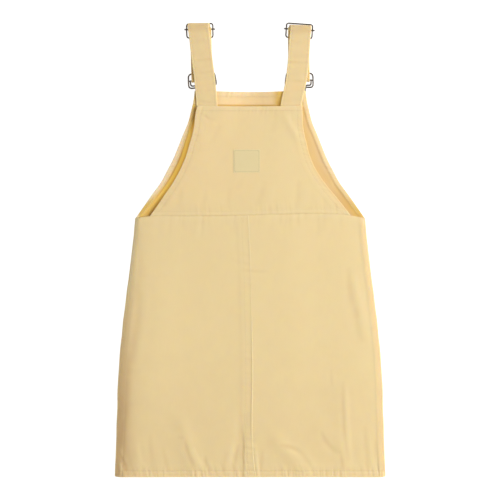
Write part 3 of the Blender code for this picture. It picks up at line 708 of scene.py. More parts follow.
@dataclass(frozen=True)
class Thread:
    """Sewing thread: its pitch, one stitch's length, half width, half height and lift.

    The reach is how far before and behind a stitch its direction is read.
    """

    pitch: float = 3.1
    length: float = 2.5
    half_width: float = 0.36
    half_height: float = 0.26
    lift: float = 0.06
    reach: float = 0.4

    def stitches(self, points: Array, ahead: Array, normal: Array) -> Mesh:
        """Stitches as small spindles of three rings, at given places.

        Args:
            points: Middle of each stitch.
            ahead: Direction of each.
            normal: Normal of the cloth there.

        Returns:
            Points and quads of them all.
        """
        ahead = unit(ahead)
        side = unit(np.cross(ahead, normal))
        up = np.cross(side, ahead)
        turn = np.arange(6) * math.pi / 3
        end = self.length / 2
        shape = np.array([
            (along, self.half_width * wide * math.cos(a),
             self.half_height * (wide * math.sin(a) - sink))
            for along, wide, sink in ((-end, 0.45, 0.7), (0.0, 1.0, 0.0), (end, 0.45, 0.7))
            for a in turn
        ])
        vertices = (points[:, None, :] + shape[None, :, 0:1] * ahead[:, None, :]
                    + shape[None, :, 1:2] * side[:, None, :] + shape[None, :, 2:3] * up[:, None, :])
        caps = np.array([(0, 3, 2, 1), (0, 5, 4, 3), (12, 13, 14, 15), (12, 15, 16, 17)])
        one = np.concatenate([ring_faces(3, 6), caps])
        quads = one[None] + (np.arange(len(points)) * len(shape))[:, None, None]
        return vertices.reshape(-1, 3), quads.reshape(-1, 4)

    def row(self, line: Array, height: Height, face: Face) -> Mesh:
        """A row of stitches along a line in plan, on a surface given as a height.

        Args:
            line: Points (x, y) of the line.
            height: The surface's height at x, y.
            face: Which way the surface looks.

        Returns:
            Points and quads.
        """
        length = lengths_along(line)
        count = max(1, int(length[-1] / self.pitch))
        at = (np.arange(count) + 0.5) * length[-1] / count
        step = self.reach
        x, y = (np.interp(at, length, line[:, i]) for i in (0, 1))
        x_ahead, y_ahead = change_along(at, step, length, line[:, :2])
        slope_x = (height(x + step, y) - height(x - step, y)) / (2 * step)
        slope_y = (height(x, y + step) - height(x, y - step)) / (2 * step)
        normal = unit(points_at(-slope_x, -slope_y, 1.0) * face.value)
        ahead = points_at(x_ahead, y_ahead, slope_x * x_ahead + slope_y * y_ahead)
        points = points_at(x, y, height(x, y)) + normal * self.lift
        return self.stitches(points, ahead, normal)


THREAD = Thread()


# ---- Finishes ----


def linear(srgb: str) -> tuple[float, float, float, float]:
    """An sRGB hex colour as linear values with full alpha."""
    levels = [int(srgb[i:i + 2], 16) / 255 for i in (0, 2, 4)]
    return (*(v / 12.92 if v <= 0.04045 else ((v + 0.055) / 1.055) ** 2.4 for v in levels), 1.0)


def fill(material: Material, node: bpy.types.Node, inputs: dict) -> None:
    """Sets or links a node's inputs.

    Args:
        material: Whose tree it stands in.
        node: The node.
        inputs: By socket name or number, a value or the output that is linked in.
    """
    for key, value in inputs.items():
        if isinstance(value, bpy.types.NodeSocket):
            material.node_tree.links.new(value, node.inputs[key])
        else:
            node.inputs[key].default_value = value


def add_node(material: Material, kind: str, inputs: dict | None = None,
             **settings: object) -> bpy.types.Node:
    """A node with its settings and inputs.

    Args:
        material: Whose tree it goes into.
        kind: Its type, without the leading ShaderNode.
        inputs: By socket name or number, a value or the output that is linked in.
        settings: Its own properties.

    Returns:
        The node.
    """
    node = material.node_tree.nodes.new("ShaderNode" + kind)
    for name, value in settings.items():
        setattr(node, name, value)
    fill(material, node, inputs or {})
    return node


def empty_material(name: str) -> tuple[Material, bpy.types.Node]:
    """A new material with its plain shader.

    Args:
        name: The material's name.

    Returns:
        The material and its Principled shader.
    """
    material = bpy.data.materials.new(name)
    material.use_nodes = True
    return material, material.node_tree.nodes["Principled BSDF"]


def wave_scale(period: float) -> float:
    """Scale of a Wave texture that repeats after that many millimetres: 2 pi / (20 period)."""
    return 2 * math.pi / 20 / period


@dataclass(frozen=True)
class CottonTwill:
    """Woven cotton twill, piece-dyed and garment-washed.

    Washing leaves it matt, faintly mottled and paler on the ridges of seams and hems. Its hollows
    are darker, partly with the fuller colour that washing leaves and partly with painted shade, and
    between two layers it takes a painted shade colour and a painted glow. Real ribs are 0.7 mm
    apart; they are drawn 1.9 mm apart, to show at all.
    """

    name: str
    face: str
    ridge: str
    hollow: str
    painted_shade_colour: str
    rib: float = 1.9
    thread: float = 1.1
    bump: float = 0.20
    mottle: float = 0.018
    glow: float = 0.40
    painted_glow: float = 0.44

    def material(self) -> Material:
        """Builds it on the flat cloth, through the map named cloth.

        Returns:
            The material.
        """
        material, shader = empty_material(self.name)
        uv = add_node(material, "UVMap", uv_map="cloth")
        cloth = add_node(material, "Mapping", {"Vector": uv.outputs[0], "Scale": PER_METRE})
        steep = add_node(material, "Mapping",
                         {"Vector": cloth.outputs[0], "Rotation": (0, 0, math.radians(-58))})
        ribs = add_node(material, "TexWave", {
            "Vector": steep.outputs[0], "Scale": wave_scale(self.rib), "Distortion": 0.6,
            "Detail": 1.0, "Detail Scale": 0.6,
        })
        weft = add_node(material, "TexWave", {
            "Vector": cloth.outputs[0], "Scale": wave_scale(self.thread), "Distortion": 0.5,
            "Detail": 1.0,
        }, bands_direction="Y")
        slub_map = add_node(material, "Mapping",
                            {"Vector": cloth.outputs[0], "Scale": (0.55, 0.045, 1)})
        slubs = add_node(material, "TexNoise",
                         {"Vector": slub_map.outputs[0], "Scale": 1.0, "Detail": 2.0})
        mottle = add_node(material, "TexNoise", {
            "Vector": cloth.outputs[0], "Scale": 0.045, "Detail": 4.0, "Roughness": 0.55,
        })
        fuzz = add_node(material, "TexNoise",
                        {"Vector": cloth.outputs[0], "Scale": 0.9, "Detail": 2.0})
        # Paler on worn ridges and rims; darker with painted shade in hollows and where a tint adds
        # it.
        wear_and_shade = add_node(material, "Attribute", attribute_name="wear_and_shade")
        level = add_node(material, "MapRange", {
            "Value": wear_and_shade.outputs["Fac"], "From Min": -1.0, "From Max": 1.0,
            "To Min": 0.0, "To Max": 1.0,
        })
        patchy = add_node(material, "MapRange", {
            "Value": mottle.outputs["Fac"], "From Min": 0.3, "From Max": 0.7,
            "To Min": -self.mottle, "To Max": self.mottle,
        })
        mixed = add_node(material, "Math", {0: level.outputs[0], 1: patchy.outputs[0]},
                         operation="ADD")
        tone = add_node(material, "ValToRGB", {"Fac": mixed.outputs[0]})
        stops = tone.color_ramp.elements
        stops[0].position, stops[0].color = 0.0, linear(self.hollow)
        stops[1].position, stops[1].color = 1.0, linear(self.ridge)
        stops.new(0.5).color = linear(self.face)
        grain = add_node(material, "Math", {0: ribs.outputs["Fac"], 1: slubs.outputs["Fac"]},
                         operation="ADD")
        # Painted shade colour between layers, and a painted glow where the value passes 1.
        painted_shade_and_glow = add_node(material, "Attribute", attribute_name="painted_shade_and_glow")
        toned = add_node(material, "Mix", {
            "Factor": painted_shade_and_glow.outputs["Fac"], 6: tone.outputs["Color"], 7: linear(self.painted_shade_colour),
        }, data_type="RGBA")
        dim = add_node(material, "MapRange", {
            "Value": grain.outputs[0], "From Min": 0.2, "From Max": 1.8,
            "To Min": 0.975, "To Max": 1.015,
        })
        colour = add_node(material, "VectorMath", {0: toned.outputs[2], "Scale": dim.outputs[0]},
                          operation="SCALE")
        crossed = add_node(material, "Math", {0: grain.outputs[0], 1: weft.outputs["Fac"]},
                           operation="ADD")
        fuzzy = add_node(material, "Math", {0: crossed.outputs[0], 1: fuzz.outputs["Fac"]},
                         operation="ADD")
        bump = add_node(material, "Bump", {
            "Height": fuzzy.outputs[0], "Strength": self.bump, "Distance": 0.12 * MM,
        })
        painted_glow = add_node(material, "MapRange", {
            "Value": painted_shade_and_glow.outputs["Fac"], "From Min": 1.0, "From Max": 2.0,
            "To Min": 0.0, "To Max": self.painted_glow,
        })
        # Light goes far into the cloth and comes out warm; the emission is a painted glow between
        # two layers, where light would come through them.
        fill(material, shader, {
            "Base Color": colour.outputs[0], "Normal": bump.outputs[0], "Roughness": 0.92,
            "Specular IOR Level": 0.25, "Sheen Weight": 0.12, "Sheen Roughness": 0.5,
            "Emission Strength": painted_glow.outputs[0], "Emission Color": (1.0, 0.70, 0.12, 1.0),
            "Subsurface Weight": self.glow, "Subsurface Radius": (0.75, 0.55, 0.16),
            "Subsurface Scale": 2.4 * MM,
        })
        return material


@dataclass(frozen=True)
class SpunThread:
    """Spun cotton sewing thread in the cloth's colour: smoother than it, with a soft shine."""

    name: str
    colour: str

    def material(self) -> Material:
        """Builds it with a fine twist on Object coordinates.

        Returns:
            The material.
        """
        material, shader = empty_material(self.name)
        place = add_node(material, "TexCoord")
        scaled = add_node(material, "Mapping",
                          {"Vector": place.outputs["Object"], "Scale": PER_METRE})
        ply = add_node(material, "TexNoise", {"Vector": scaled.outputs[0], "Scale": 1.6})
        tone = add_node(material, "MapRange", {
            "Value": ply.outputs["Fac"], "From Min": 0.3, "From Max": 0.7,
            "To Min": 0.88, "To Max": 1.04,
        })
        base = add_node(material, "VectorMath",
                        {0: linear(self.colour)[:3], "Scale": tone.outputs[0]}, operation="SCALE")
        fill(material, shader,
             {"Base Color": base.outputs[0], "Roughness": 0.7, "Sheen Weight": 0.1})
        return material


@dataclass(frozen=True)
class NickelWire:
    """Drawn steel wire with dull nickel plating.

    It gives soft grey reflections, broken by faint drawing lines and handling marks.
    """

    name: str
    colour: str
    dull: str
    roughness: float

    def material(self) -> Material:
        """Builds it on Object coordinates.

        Returns:
            The material.
        """
        material, shader = empty_material(self.name)
        place = add_node(material, "TexCoord")
        scaled = add_node(material, "Mapping",
                          {"Vector": place.outputs["Object"], "Scale": PER_METRE})
        marks = add_node(material, "TexNoise",
                         {"Vector": scaled.outputs[0], "Scale": 0.5, "Detail": 4.0})
        tone = add_node(material, "ValToRGB", {"Fac": marks.outputs["Fac"]})
        stops = tone.color_ramp.elements
        stops[0].position, stops[0].color = 0.35, linear(self.dull)
        stops[1].position, stops[1].color = 0.65, linear(self.colour)
        rough = add_node(material, "MapRange", {
            "Value": marks.outputs["Fac"], "From Min": 0.3, "From Max": 0.7,
            "To Min": self.roughness + 0.1, "To Max": self.roughness - 0.06,
        })
        lines = add_node(material, "TexNoise", {"Vector": scaled.outputs[0], "Scale": 6.0})
        bump = add_node(material, "Bump",
                        {"Height": lines.outputs["Fac"], "Strength": 0.15, "Distance": 0.05 * MM})
        fill(material, shader, {
            "Base Color": tone.outputs["Color"], "Roughness": rough.outputs[0],
            "Normal": bump.outputs[0], "Metallic": 1.0,
        })
        return material


def dress(piece: Object, material: Material, slot: str, *nodes: str) -> Object:
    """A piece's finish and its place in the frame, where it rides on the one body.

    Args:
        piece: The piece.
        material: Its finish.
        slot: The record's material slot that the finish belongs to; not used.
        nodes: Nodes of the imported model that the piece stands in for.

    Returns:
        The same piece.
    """
    piece.data.materials.append(material)
    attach(piece, BODY)
    if nodes:
        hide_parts(*nodes)
    return piece


@dataclass
class Finishes:
    """The materials of the whole garment, made once."""

    # The twill's last colour is its painted shade colour between layers.
    twill: Material = field(default_factory=lambda: CottonTwill(
        "washed_cotton_twill", "EDD7A6", "F5E2BB", "D2B486", "DFBE6C").material())
    patch: Material = field(default_factory=lambda: CottonTwill(
        "patch_cotton_twill", "E7D6A6", "ECDDB2", "CDB57F", "E2AA4C", glow=0.08).material())
    thread: Material = field(default_factory=lambda: SpunThread(
        "spun_cotton_thread", "E8D2A0").material())
    patch_thread: Material = field(default_factory=lambda: SpunThread(
        "patch_cotton_thread", "C6B784").material())
    wire: Material = field(default_factory=lambda: NickelWire(
        "nickel_plated_wire", "756C64", "544B44", 0.34).material())
    button: Material = field(default_factory=lambda: NickelWire(
        "nickel_plated_button", "8E857B", "6E655C", 0.28).material())


def add_sewing(name: str, rows: list[tuple[Array, Array]], thread: Material) -> Object:
    """One piece of all a panel's stitches."""
    piece = add_piece(name, *joined(rows), sharp_above=70)
    return dress(piece, thread, "cotton_twill")


# ---- Form of the skirt and bibs ----


def bib_half(widths: Table, x: Array | float, y: Array) -> Array:
    """A bib's half width: its table's, less the tuck on the back bib's right.

    Args:
        widths: The bib's table of half widths.
        x, y: Places across and along; of x only the sign counts.

    Returns:
        The half widths.
    """
    half = curve_at(widths, y)
    tucked = (widths is BACK_BIB) & (np.asarray(x) > 0)
    return half - curve_at(BIB_TUCK, y) * tucked


@dataclass
class GarmentForm:
    """Heights of the outer faces at any place in plan."""

    hem_row: float = -331.2
    hem_relief: float = 0.16
    rope: float = 0.22
    groove: float = 0.24
    waist_row: float = 6.0
    bib_top_row: float = 207.9
    armhole_row: float = 8.0
    facing: float = 15.0
    front_top_row: float = 230.2
    front_armhole_row: float = 5.4
    back_top: float = 214.3
    front_top: float = 237.4
    strap_left_x: float = -64.4
    strap_right_x: float = 61.0
    neck_right: float = 76.0
    hem_seed: int = 13

    def skirt_at(self, column: str, y: Array) -> Array:
        """One column of the skirt's table at height y."""
        return smooth_curve(SKIRT["y"], SKIRT[column], y)

    def half_width(self, y: Array) -> Array:
        """Half the skirt's width, with the sides a little uneven."""
        calm = ramp(HEM_Y, HEM_Y + 30, y) * ramp(WAIST_Y, WAIST_Y - 30, y)
        return self.skirt_at("half_width", y) + 0.22 * calm * unevenness(y, 0 * y, 46, 11)

    def side_angle(self, x: Array, y: Array) -> Array:
        """Slope of the cloth where the side fold starts, in radians."""
        left, right = (self.skirt_at(column, y) for column in ("left_slope", "right_slope"))
        return np.radians(np.where(x < 0, left, right))

    def hem_relief_at(self, x: Array, y: Array, seed: int) -> Array:
        """Relief of the skirt's hem: a thicker edge, a sunk row, and roping that dies out above it.

        Args:
            x, y: Places across and along.
            seed: Seed of the roping.

        Returns:
            The relief.
        """
        up = y - self.hem_row
        strong = 0.75 + 0.25 * np.maximum(bell(x + 76, 62), bell(x - 136, 22))
        strong = np.maximum(strong, bell(np.abs(x) - 196, 14))
        rope = self.rope * strong * (1.3 * roping(x, 0.1 * up, 5.2, seed) * ramp(4, -2, up)
                                     + 0.5 * roping(x, 0.35 * up, 9.0, seed + 50) * ramp(16, 0, up))
        return self.hem_relief * ramp(1.6, -0.6, up) - self.groove * bell(up, 0.9) + rope

    def skirt_relief(self, x: Array, y: Array) -> Array:
        """Relief of the back skirt on its broad form.

        Creases and unevenness, the hem, puckers under the waist seam, the felled seam's band with
        its sunk rows and its step down to the right half, and the side seams.

        Args:
            x, y: Places across and along.

        Returns:
            The relief.
        """
        seam = curve_at(CENTRE_SEAM, y)
        down = curve_at(BACK_WAIST, x) - y
        relief = 0.55 * crease_height(SKIRT_CREASES, x, y)
        relief += 0.05 * unevenness(x, y, 90, 1) + 0.006 * unevenness(x, y, 19, 2)
        relief += self.hem_relief_at(x, y, 3)
        relief += 0.07 * ramp(20, 0, down) * roping(x, 0.12 * down, 7.0, 4)
        relief -= 0.34 * bell(down, 1.0)
        low = ramp(-255, -300, y)
        rise, soft = 0.20 + 0.30 * low, 6.0 - 4.6 * low
        band = seam - BAND - 3.0 * ramp(-290, -335, y)
        relief += rise * ramp(band - soft, band + 0.3, x) * (x < seam)
        high = ramp(-190, -60, y)
        ridge = BAND_RISE * (1 - 0.45 * high) - rise
        relief += ridge * ramp(seam - 3.4, seam - 1.6, x) * (x < seam)
        relief -= (0.42 - 0.32 * high) * ramp(seam - 1.4, seam, x) * (x < seam)
        relief -= 0.12 * low * bell(x - (seam - 10.8), 0.8)
        puckers = (0.03 + 0.09 * low) * ramp(14, 3, np.abs(x - seam + 6))
        relief += puckers * roping(y, 0.2 * x, 12.0, 5)
        relief -= 0.25 * ramp(-262, -285, y) * bell(x - (band - 1.2), 1.8)
        relief += 0.35 * ramp(-285, -318, y) * bell(x - seam - 3.5, 2.4)
        side = np.abs(x) - (self.skirt_at("half_width", y) - SIDE_SEAM_IN)
        relief -= (0.02 + 0.3 * ramp(-295, -330, y)) * bell(side, 1.3)
        return relief

    def skirt_face(self, x: Array, y: Array) -> Array:
        """Outer face of the back skirt.

        Its broad form and relief stand on a parabola that rolls down at each side to where the fold
        starts, as steep there as the fold.

        Args:
            x, y: Places across and along.

        Returns:
            The face's height.
        """
        half = self.half_width(y)
        shoulder = self.skirt_at("shoulder", y)
        middle = self.skirt_at("middle", y)
        reach = np.abs(x)
        plateau = middle + (shoulder - middle) * ramp(0.45 * half, half - 22, reach)
        plateau = plateau + fold_height(SKIRT_FOLDS, x, y) + self.skirt_relief(x, y)
        angle = self.side_angle(x, y)
        foot_x = half - SIDE_NOSE * (1 - np.sin(angle))
        foot_z = SIDE_NOSE * (1 + np.cos(angle))
        roll = 2 * (shoulder - foot_z) / np.tan(angle)
        climb = np.clip((foot_x - reach) / roll, 0, 1)
        return foot_z + (plateau - foot_z) * (1 - (1 - climb) ** 2)

    def skirt_painted_light_and_shade(self, x: Array, y: Array) -> Array:
        """Painted light and shade on the skirt beside its relief: its sides and hem are darker.

        Args:
            x, y: Places across and along.

        Returns:
            The painted light and shade.
        """
        half = self.skirt_at("half_width", y)
        left, right = half + x, half - x
        # Painted shade down the left side, which turns from the light, most towards the hem.
        side = ramp(36, 6, left) * (0.1 + 0.75 * ramp(20, -300, y))
        # Painted light: the upper part of the left edge is paler.
        side = side - 1.0 * ramp(7, 1, left) * ramp(-160, 0, y)
        # Painted shade along the right edge.
        side = -side - 0.45 * ramp(15, 3, right) - 0.2 * ramp(7, 1, right)
        # Painted shade: darker towards the hem.
        return side - 0.12 * ramp(-100, -330, y)

    def bib_painted_shade(self, x: Array, y: Array) -> Array:
        """Painted shade on the back bib's outer face: slight, along its right armhole edge."""
        edge = self.armhole_distance(BACK_BIB, x, y)
        return 0.12 * ramp(6.0, 0.5, edge) * (x > 0) * ramp(62, 90, y) * ramp(205, 180, y)

    def inside_painted_shade_and_glow(self, x: Array, y: Array) -> Array:
        """Painted shade and glow on the front bib's inside in the armholes and in the neck.

        In an armhole the painted shade rises towards the back bib's edge, where its shadow falls,
        to nearly 2 on the left, where a painted glow stands in for light that comes through, and
        stays low on the turned hem. In the neck the painted shade rises towards the right strap,
        beside its shadow, and in a narrow line of painted shadow along the back bib's top.

        Args:
            x, y: Places across and along.

        Returns:
            The painted shade and glow, from 0 in the open to 2.
        """
        out = -self.armhole_distance(BACK_BIB, x, np.minimum(y, BACK_BIB["y"][-1]))
        above = y - self.back_top
        beside = np.minimum(np.abs(x - self.strap_left_x), np.abs(x - self.strap_right_x))
        beside = beside - STRAP_WIDTH / 2
        low = ramp(125, 95, y)
        corner = low * (0.32 + 0.55 * ramp(88, 58, y))
        right = 0.33 * ramp(17, 4, out) * (1 - low) + corner * ramp(-3, 8, out)
        wide = 6 * ramp(100, 60, y)
        lit = ramp(9, 5, out) * (1 - 0.5 * ramp(5, 1, out)) * ramp(48, 92, y)
        left = ramp(12.5 + wide, 7 + wide, out) + lit
        armhole = np.where(x < 0, left, right)
        near_right_strap = (x > 0) & (x < self.strap_right_x)
        neck = np.where(near_right_strap, 1.25 * ramp(15, -1, beside), 0.2 * ramp(6, 0, beside))
        neck = np.maximum(neck, ramp(4.0, 1.0, above) * (x < self.neck_right))
        neck = neck + 0.3 * (x < self.strap_left_x)
        hem = ramp(ARMHOLE_HEM + 4.5, ARMHOLE_HEM - 4.5, self.armhole_distance(FRONT_BIB, x, y))
        return 0.03 + np.where(above > 0, neck, armhole * (1 - 0.6 * hem * ramp(58, 92, y)))

    def inside_painted_light_and_shade(self, x: Array, y: Array) -> Array:
        """Painted light and shade on the front bib's inside beside its relief.

        The hems are paler with painted light, in uneven bars, the right side is darker with painted
        shade beside its row and towards its low corner, and a line of painted shadow runs along the
        back bib's top.

        Args:
            x, y: Places across and along.

        Returns:
            The painted light and shade.
        """
        edge = self.armhole_distance(FRONT_BIB, x, y)
        hem = ramp(ARMHOLE_HEM + 2.0, ARMHOLE_HEM - 2.0, edge)
        above = y - self.back_top
        bars = hem * (1.0 + 0.5 * roping(1.2 * y, 0.35 * x, 8.5, self.hem_seed))
        bars = bars * np.where(x < 0, 1.0, 0.3)
        right = 0.5 * bell(edge - 7.4, 1.4) + 0.3 * (1 - hem) + 0.6 * ramp(105, 62, y)
        bars = bars * ramp(55, 88, y) - right * (x > 0)
        return np.where(above > 0, 0.1 - 1.4 * ramp(4.0, 1.0, above) * (x < self.neck_right), bars)

    def hem_corner(self, x: Array, y: Array) -> Array:
        """Small rise of the hem's edge where it turns round the side folds."""
        half = self.skirt_at("half_width", y)
        return 0.9 * ramp(half - 9, half + 2, np.abs(x)) * ramp(HEM_Y + SKIRT_HEM, HEM_Y, y)

    def armhole_distance(self, widths: Table, x: Array, y: Array) -> Array:
        """Distance in from a bib's curved edge: (half - |x|) / root(1 + slope^2)."""
        half, beside = bib_half(widths, x, y), bib_half(widths, x, y + 1)
        return (half - np.abs(x)) / np.sqrt(1 + (beside - half) ** 2)

    def bib_relief(self, x: Array, y: Array) -> Array:
        """Relief of the back bib: facing, hems, sunk rows, puckers and creases.

        Args:
            x, y: Places across and along.

        Returns:
            The relief.
        """
        edge = self.armhole_distance(BACK_BIB, x, y)
        up = y - curve_at(BACK_WAIST, x)
        down = self.back_top - y
        relief = 0.65 * crease_height(BIB_CREASES, x, y)
        relief += 0.03 * unevenness(x, y, 60, 6) + 0.006 * unevenness(x, y, 17, 7)
        relief += 0.05 * ramp(self.facing + 1.0, self.facing - 0.8, edge)
        relief -= self.groove * 0.4 * bell(edge - self.armhole_row, 1.0)
        relief += 0.07 * ramp(14, 7, edge) * roping(y * 1.2, 0.3 * x, 8.0, 8)
        relief += 0.05 * ramp(self.waist_row + 2.2, self.waist_row - 1.0, up) - 0.34 * bell(up, 1.0)
        relief -= self.groove * 0.2 * bell(up - self.waist_row, 0.9)
        relief += 0.09 * ramp(24, 3, up) * roping(x, 0.10 * up, 7.5, 9)
        relief += 0.12 * ramp(7.4, 5.6, down) - self.groove * 0.6 * bell(y - self.bib_top_row, 0.9)
        relief += 0.07 * ramp(20, 5, down) * roping(x, 0.15 * down, 8.0, 10)
        return relief

    def bib_face(self, x: Array, y: Array) -> Array:
        """Outer face of the back bib: its crown, less a dip in the top's middle and drooping sides.

        Args:
            x, y: Places across and along.

        Returns:
            The face's height.
        """
        rise = y - curve_at(BACK_WAIST, x)
        height = curve_at(BIB_CROWN, rise)
        dip = 1.1 * (1 - ramp(16, 44, np.abs(x))) * ramp(150, 214, y)
        edge = bib_half(BACK_BIB, x, y) - np.abs(x)
        droop = 0.4 * ramp(16, 0, edge) * ramp(190, 150, y) * ramp(0, 25, rise)
        return height - dip - droop + fold_height(BIB_FOLDS, x, y) + self.bib_relief(x, y)

    def front_lift(self, x: Array, y: Array) -> Array:
        """Height of the front bib's outer face: flat, but its corners lie over the hooks."""
        beside = np.abs(np.abs(x) - 70)
        return 5.2 * ramp(70, 14, beside) * ramp(112, 208, y)

    def front_bib_face(self, x: Array, y: Array) -> Array:
        """Outer face of the front bib, which is down; its relief only goes up from the surface.

        Args:
            x, y: Places across and along.

        Returns:
            The face's height.
        """
        edge = self.armhole_distance(FRONT_BIB, x, y)
        up = y - curve_at(FRONT_WAIST, x)
        relief = self.groove * (
            bell(edge - self.front_armhole_row, 0.9) + bell(up - self.waist_row, 0.9))
        relief += self.groove * bell(y - self.front_top_row, 0.9)
        relief += np.maximum(0, 0.16 * ramp(18, 4, up) * roping(x, 0.1 * up, 7.5, 12))
        puckers = roping(1.2 * y, 0.3 * x, 8.5, self.hem_seed)
        relief += np.maximum(0, 0.14 * ramp(14, 5, edge) * puckers)
        relief += np.maximum(0, crease_height(FRONT_BIB_CREASES, x, y))
        return self.front_lift(x, y) + relief + 0.3 * ramp(1.6, 0.0, up)

    def front_bib_inside(self, x: Array, y: Array) -> Array:
        """Extra thickness on the front bib's inside: turned hems, sunk rows, puckers and creases.

        Args:
            x, y: Places across and along.

        Returns:
            The thickness beyond one layer.
        """
        edge = self.armhole_distance(FRONT_BIB, x, y)
        top = self.front_top - y
        hem = np.maximum(ramp(ARMHOLE_HEM + 1.6, ARMHOLE_HEM - 1.2, edge),
                         ramp(BIB_HEM + 1.2, BIB_HEM - 0.8, top))
        rows = bell(edge - self.front_armhole_row, 0.8) + bell(y - self.front_top_row, 0.8)
        puckers = 0.20 * ramp(13, 3, edge) * roping(1.2 * y, 0.35 * x, 8.5, self.hem_seed)
        puckers = puckers + 0.14 * ramp(13, 3, top) * roping(x, 0.2 * top, 9.0, 14)
        creases = np.minimum(0, crease_height(FRONT_BIB_CREASES, x, y))
        visible = np.where(x > 0, 0.45, 1.0) * (1 - 0.5 * ramp(22, 8, top))
        hem = TURN * hem * visible - 0.14 * rows
        return hem + puckers + creases + 0.07 * unevenness(x, y, 21, 15)

    def front_skirt_relief(self, x: Array, y: Array) -> Array:
        """Relief of the underside; it only goes up from the surface.

        Args:
            x, y: Places across and along.

        Returns:
            The relief.
        """
        down = curve_at(FRONT_WAIST, x) - y
        up = y - self.hem_row
        relief = crease_height(FRONT_CREASES, x, y)
        relief += 0.13 * ramp(16, 0, down) * roping(x, 0.12 * down, 8.5, 16)
        relief += 0.3 * ramp(1.6, 0.0, down) + 0.42 * bell(up, 1.0)
        relief += 0.2 * ramp(15, 0, np.abs(up)) * roping(x, 0.55 * up, 9.0, 17)
        return np.maximum(0, relief)


FORM = GarmentForm()


# ---- Cloth panels ----


def edge_distance(x: Array, y: Array, free: str) -> Array:
    """Distance of each point of a grid to its free sides, along its rows and columns.

    Args:
        x: Places across, with columns from left to right.
        y: Places along, with rows from low to high.
        free: The free sides, out of the words left, right, low and high.

    Returns:
        The distances.
    """
    across = np.hypot(np.diff(x, axis=1), np.diff(y, axis=1))
    along = np.hypot(np.diff(x, axis=0), np.diff(y, axis=0))
    right = np.concatenate([np.zeros((len(x), 1)), np.cumsum(across, axis=1)], axis=1)
    up = np.concatenate([np.zeros((1, x.shape[1])), np.cumsum(along, axis=0)])
    distances = {"left": right, "right": right[:, -1:] - right, "low": up, "high": up[-1:] - up}
    return np.min([distances[side] for side in free.split()], axis=0)


def skirt_rows(hem_step: float, step: float) -> Array:
    """Level rows of the skirt, from the hem to the waist.

    Args:
        hem_step: Distance between rows by the hem.
        step: Distance between them above it.

    Returns:
        Their places along.
    """
    low = spread_with_edges(HEM_Y, HEM_Y + CLOSE_ROWS, hem_step, EDGE_STEPS)
    high = spread_with_edges(HEM_Y + CLOSE_ROWS, WAIST_Y, step, EDGE_STEPS)
    return np.unique(np.concatenate([low[:-5], high[5:]]))


def fitted_rows(x: Array, y: Array, waist: Array) -> Array:
    """Real places along: y, bent to the waist seam near it and raised at the hem's corners."""
    return y + (waist - WAIST_Y) * ramp(WAIST_Y - WAIST_EASE, WAIST_Y, y) + FORM.hem_corner(x, y)


@dataclass
class BackSkirt:
    """Both halves of the back skirt, joined in a felled seam whose band lies on the left half."""

    finishes: Finishes
    hem_step: float = 0.8
    step: float = 1.75
    row_insets: Pair = (1.4, 10.8)
    hem_reach: float = 188.0

    def place(self, node: str, x: Array, y: Array) -> Object:
        """One half from its plan points.

        Args:
            node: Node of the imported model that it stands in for.
            x: Places across.
            y: Nominal places along.

        Returns:
            The piece.
        """
        real_y = fitted_rows(x, y, curve_at(BACK_WAIST, x) - SEAM)
        face = points_at(x, real_y, FORM.skirt_face(x, real_y))
        wall = CLOTH + TURN * ramp(HEM_Y + SKIRT_HEM + 0.5, HEM_Y + SKIRT_HEM, y)
        uv = points_at(x, real_y)
        edge = edge_distance(x, real_y, "low")
        wear_and_shade = wear_and_shade_from(FORM.skirt_relief(x, real_y), edge, FORM.skirt_painted_light_and_shade(x, real_y))
        piece = add_shell(node + "_cloth", face, uv, wall, edge, 1, wear_and_shade)
        return dress(piece, self.finishes.twill, "cotton_twill", node)

    def build(self) -> list[Object]:
        """Both halves and their sewing.

        Returns:
            The pieces.
        """
        y = skirt_rows(self.hem_step, self.step)
        seam = curve_at(CENTRE_SEAM, y)[:, None]
        side = (FORM.skirt_at("half_width", y) - SIDE_SEAM_IN - 2 * SEAM)[:, None]
        share = spread_with_edges(0, 1, 1 / 104, tuple(s / 180 for s in EDGE_STEPS))[None, :]
        band_left = seam - SEAM - BAND
        band = np.array([
            -0.9, -0.5, -0.1, 0.3, 0.8, 1.6, 2.2, 2.8, 3.8, 5.0, 6.2, 7.4, 8.6, 9.6, 10.2, 10.8,
            11.4, 12.0, 12.4, 12.7, 12.88, BAND,
        ])[None, :]
        plain = -side + (band_left - 1.4 + side) * share[:, :-4]
        left_x = np.concatenate([plain, band_left + band], axis=1)
        right_x = seam + SEAM + (side - seam - SEAM) * share
        left, right = (
            self.place(node, x, np.broadcast_to(y[:, None], x.shape))
            for node, x in (("back_skirt_left", left_x), ("back_skirt_right", right_x)))
        across = np.linspace(-self.hem_reach, self.hem_reach, ROW_POINTS)
        corner = FORM.hem_corner(across, np.full(ROW_POINTS, FORM.hem_row))
        lines = [points_at(across, FORM.hem_row + 0.4 * corner)]
        down = np.linspace(HEM_Y + 1.5, WAIST_Y + 1.3, ROW_POINTS)
        for inset in self.row_insets:
            lines.append(points_at(curve_at(CENTRE_SEAM, down) - inset, down))
        stitches = [THREAD.row(line, FORM.skirt_face, Face.UP) for line in lines]
        sewing = add_sewing("back_skirt_stitches", stitches, self.finishes.thread)
        return [left, right, sewing]


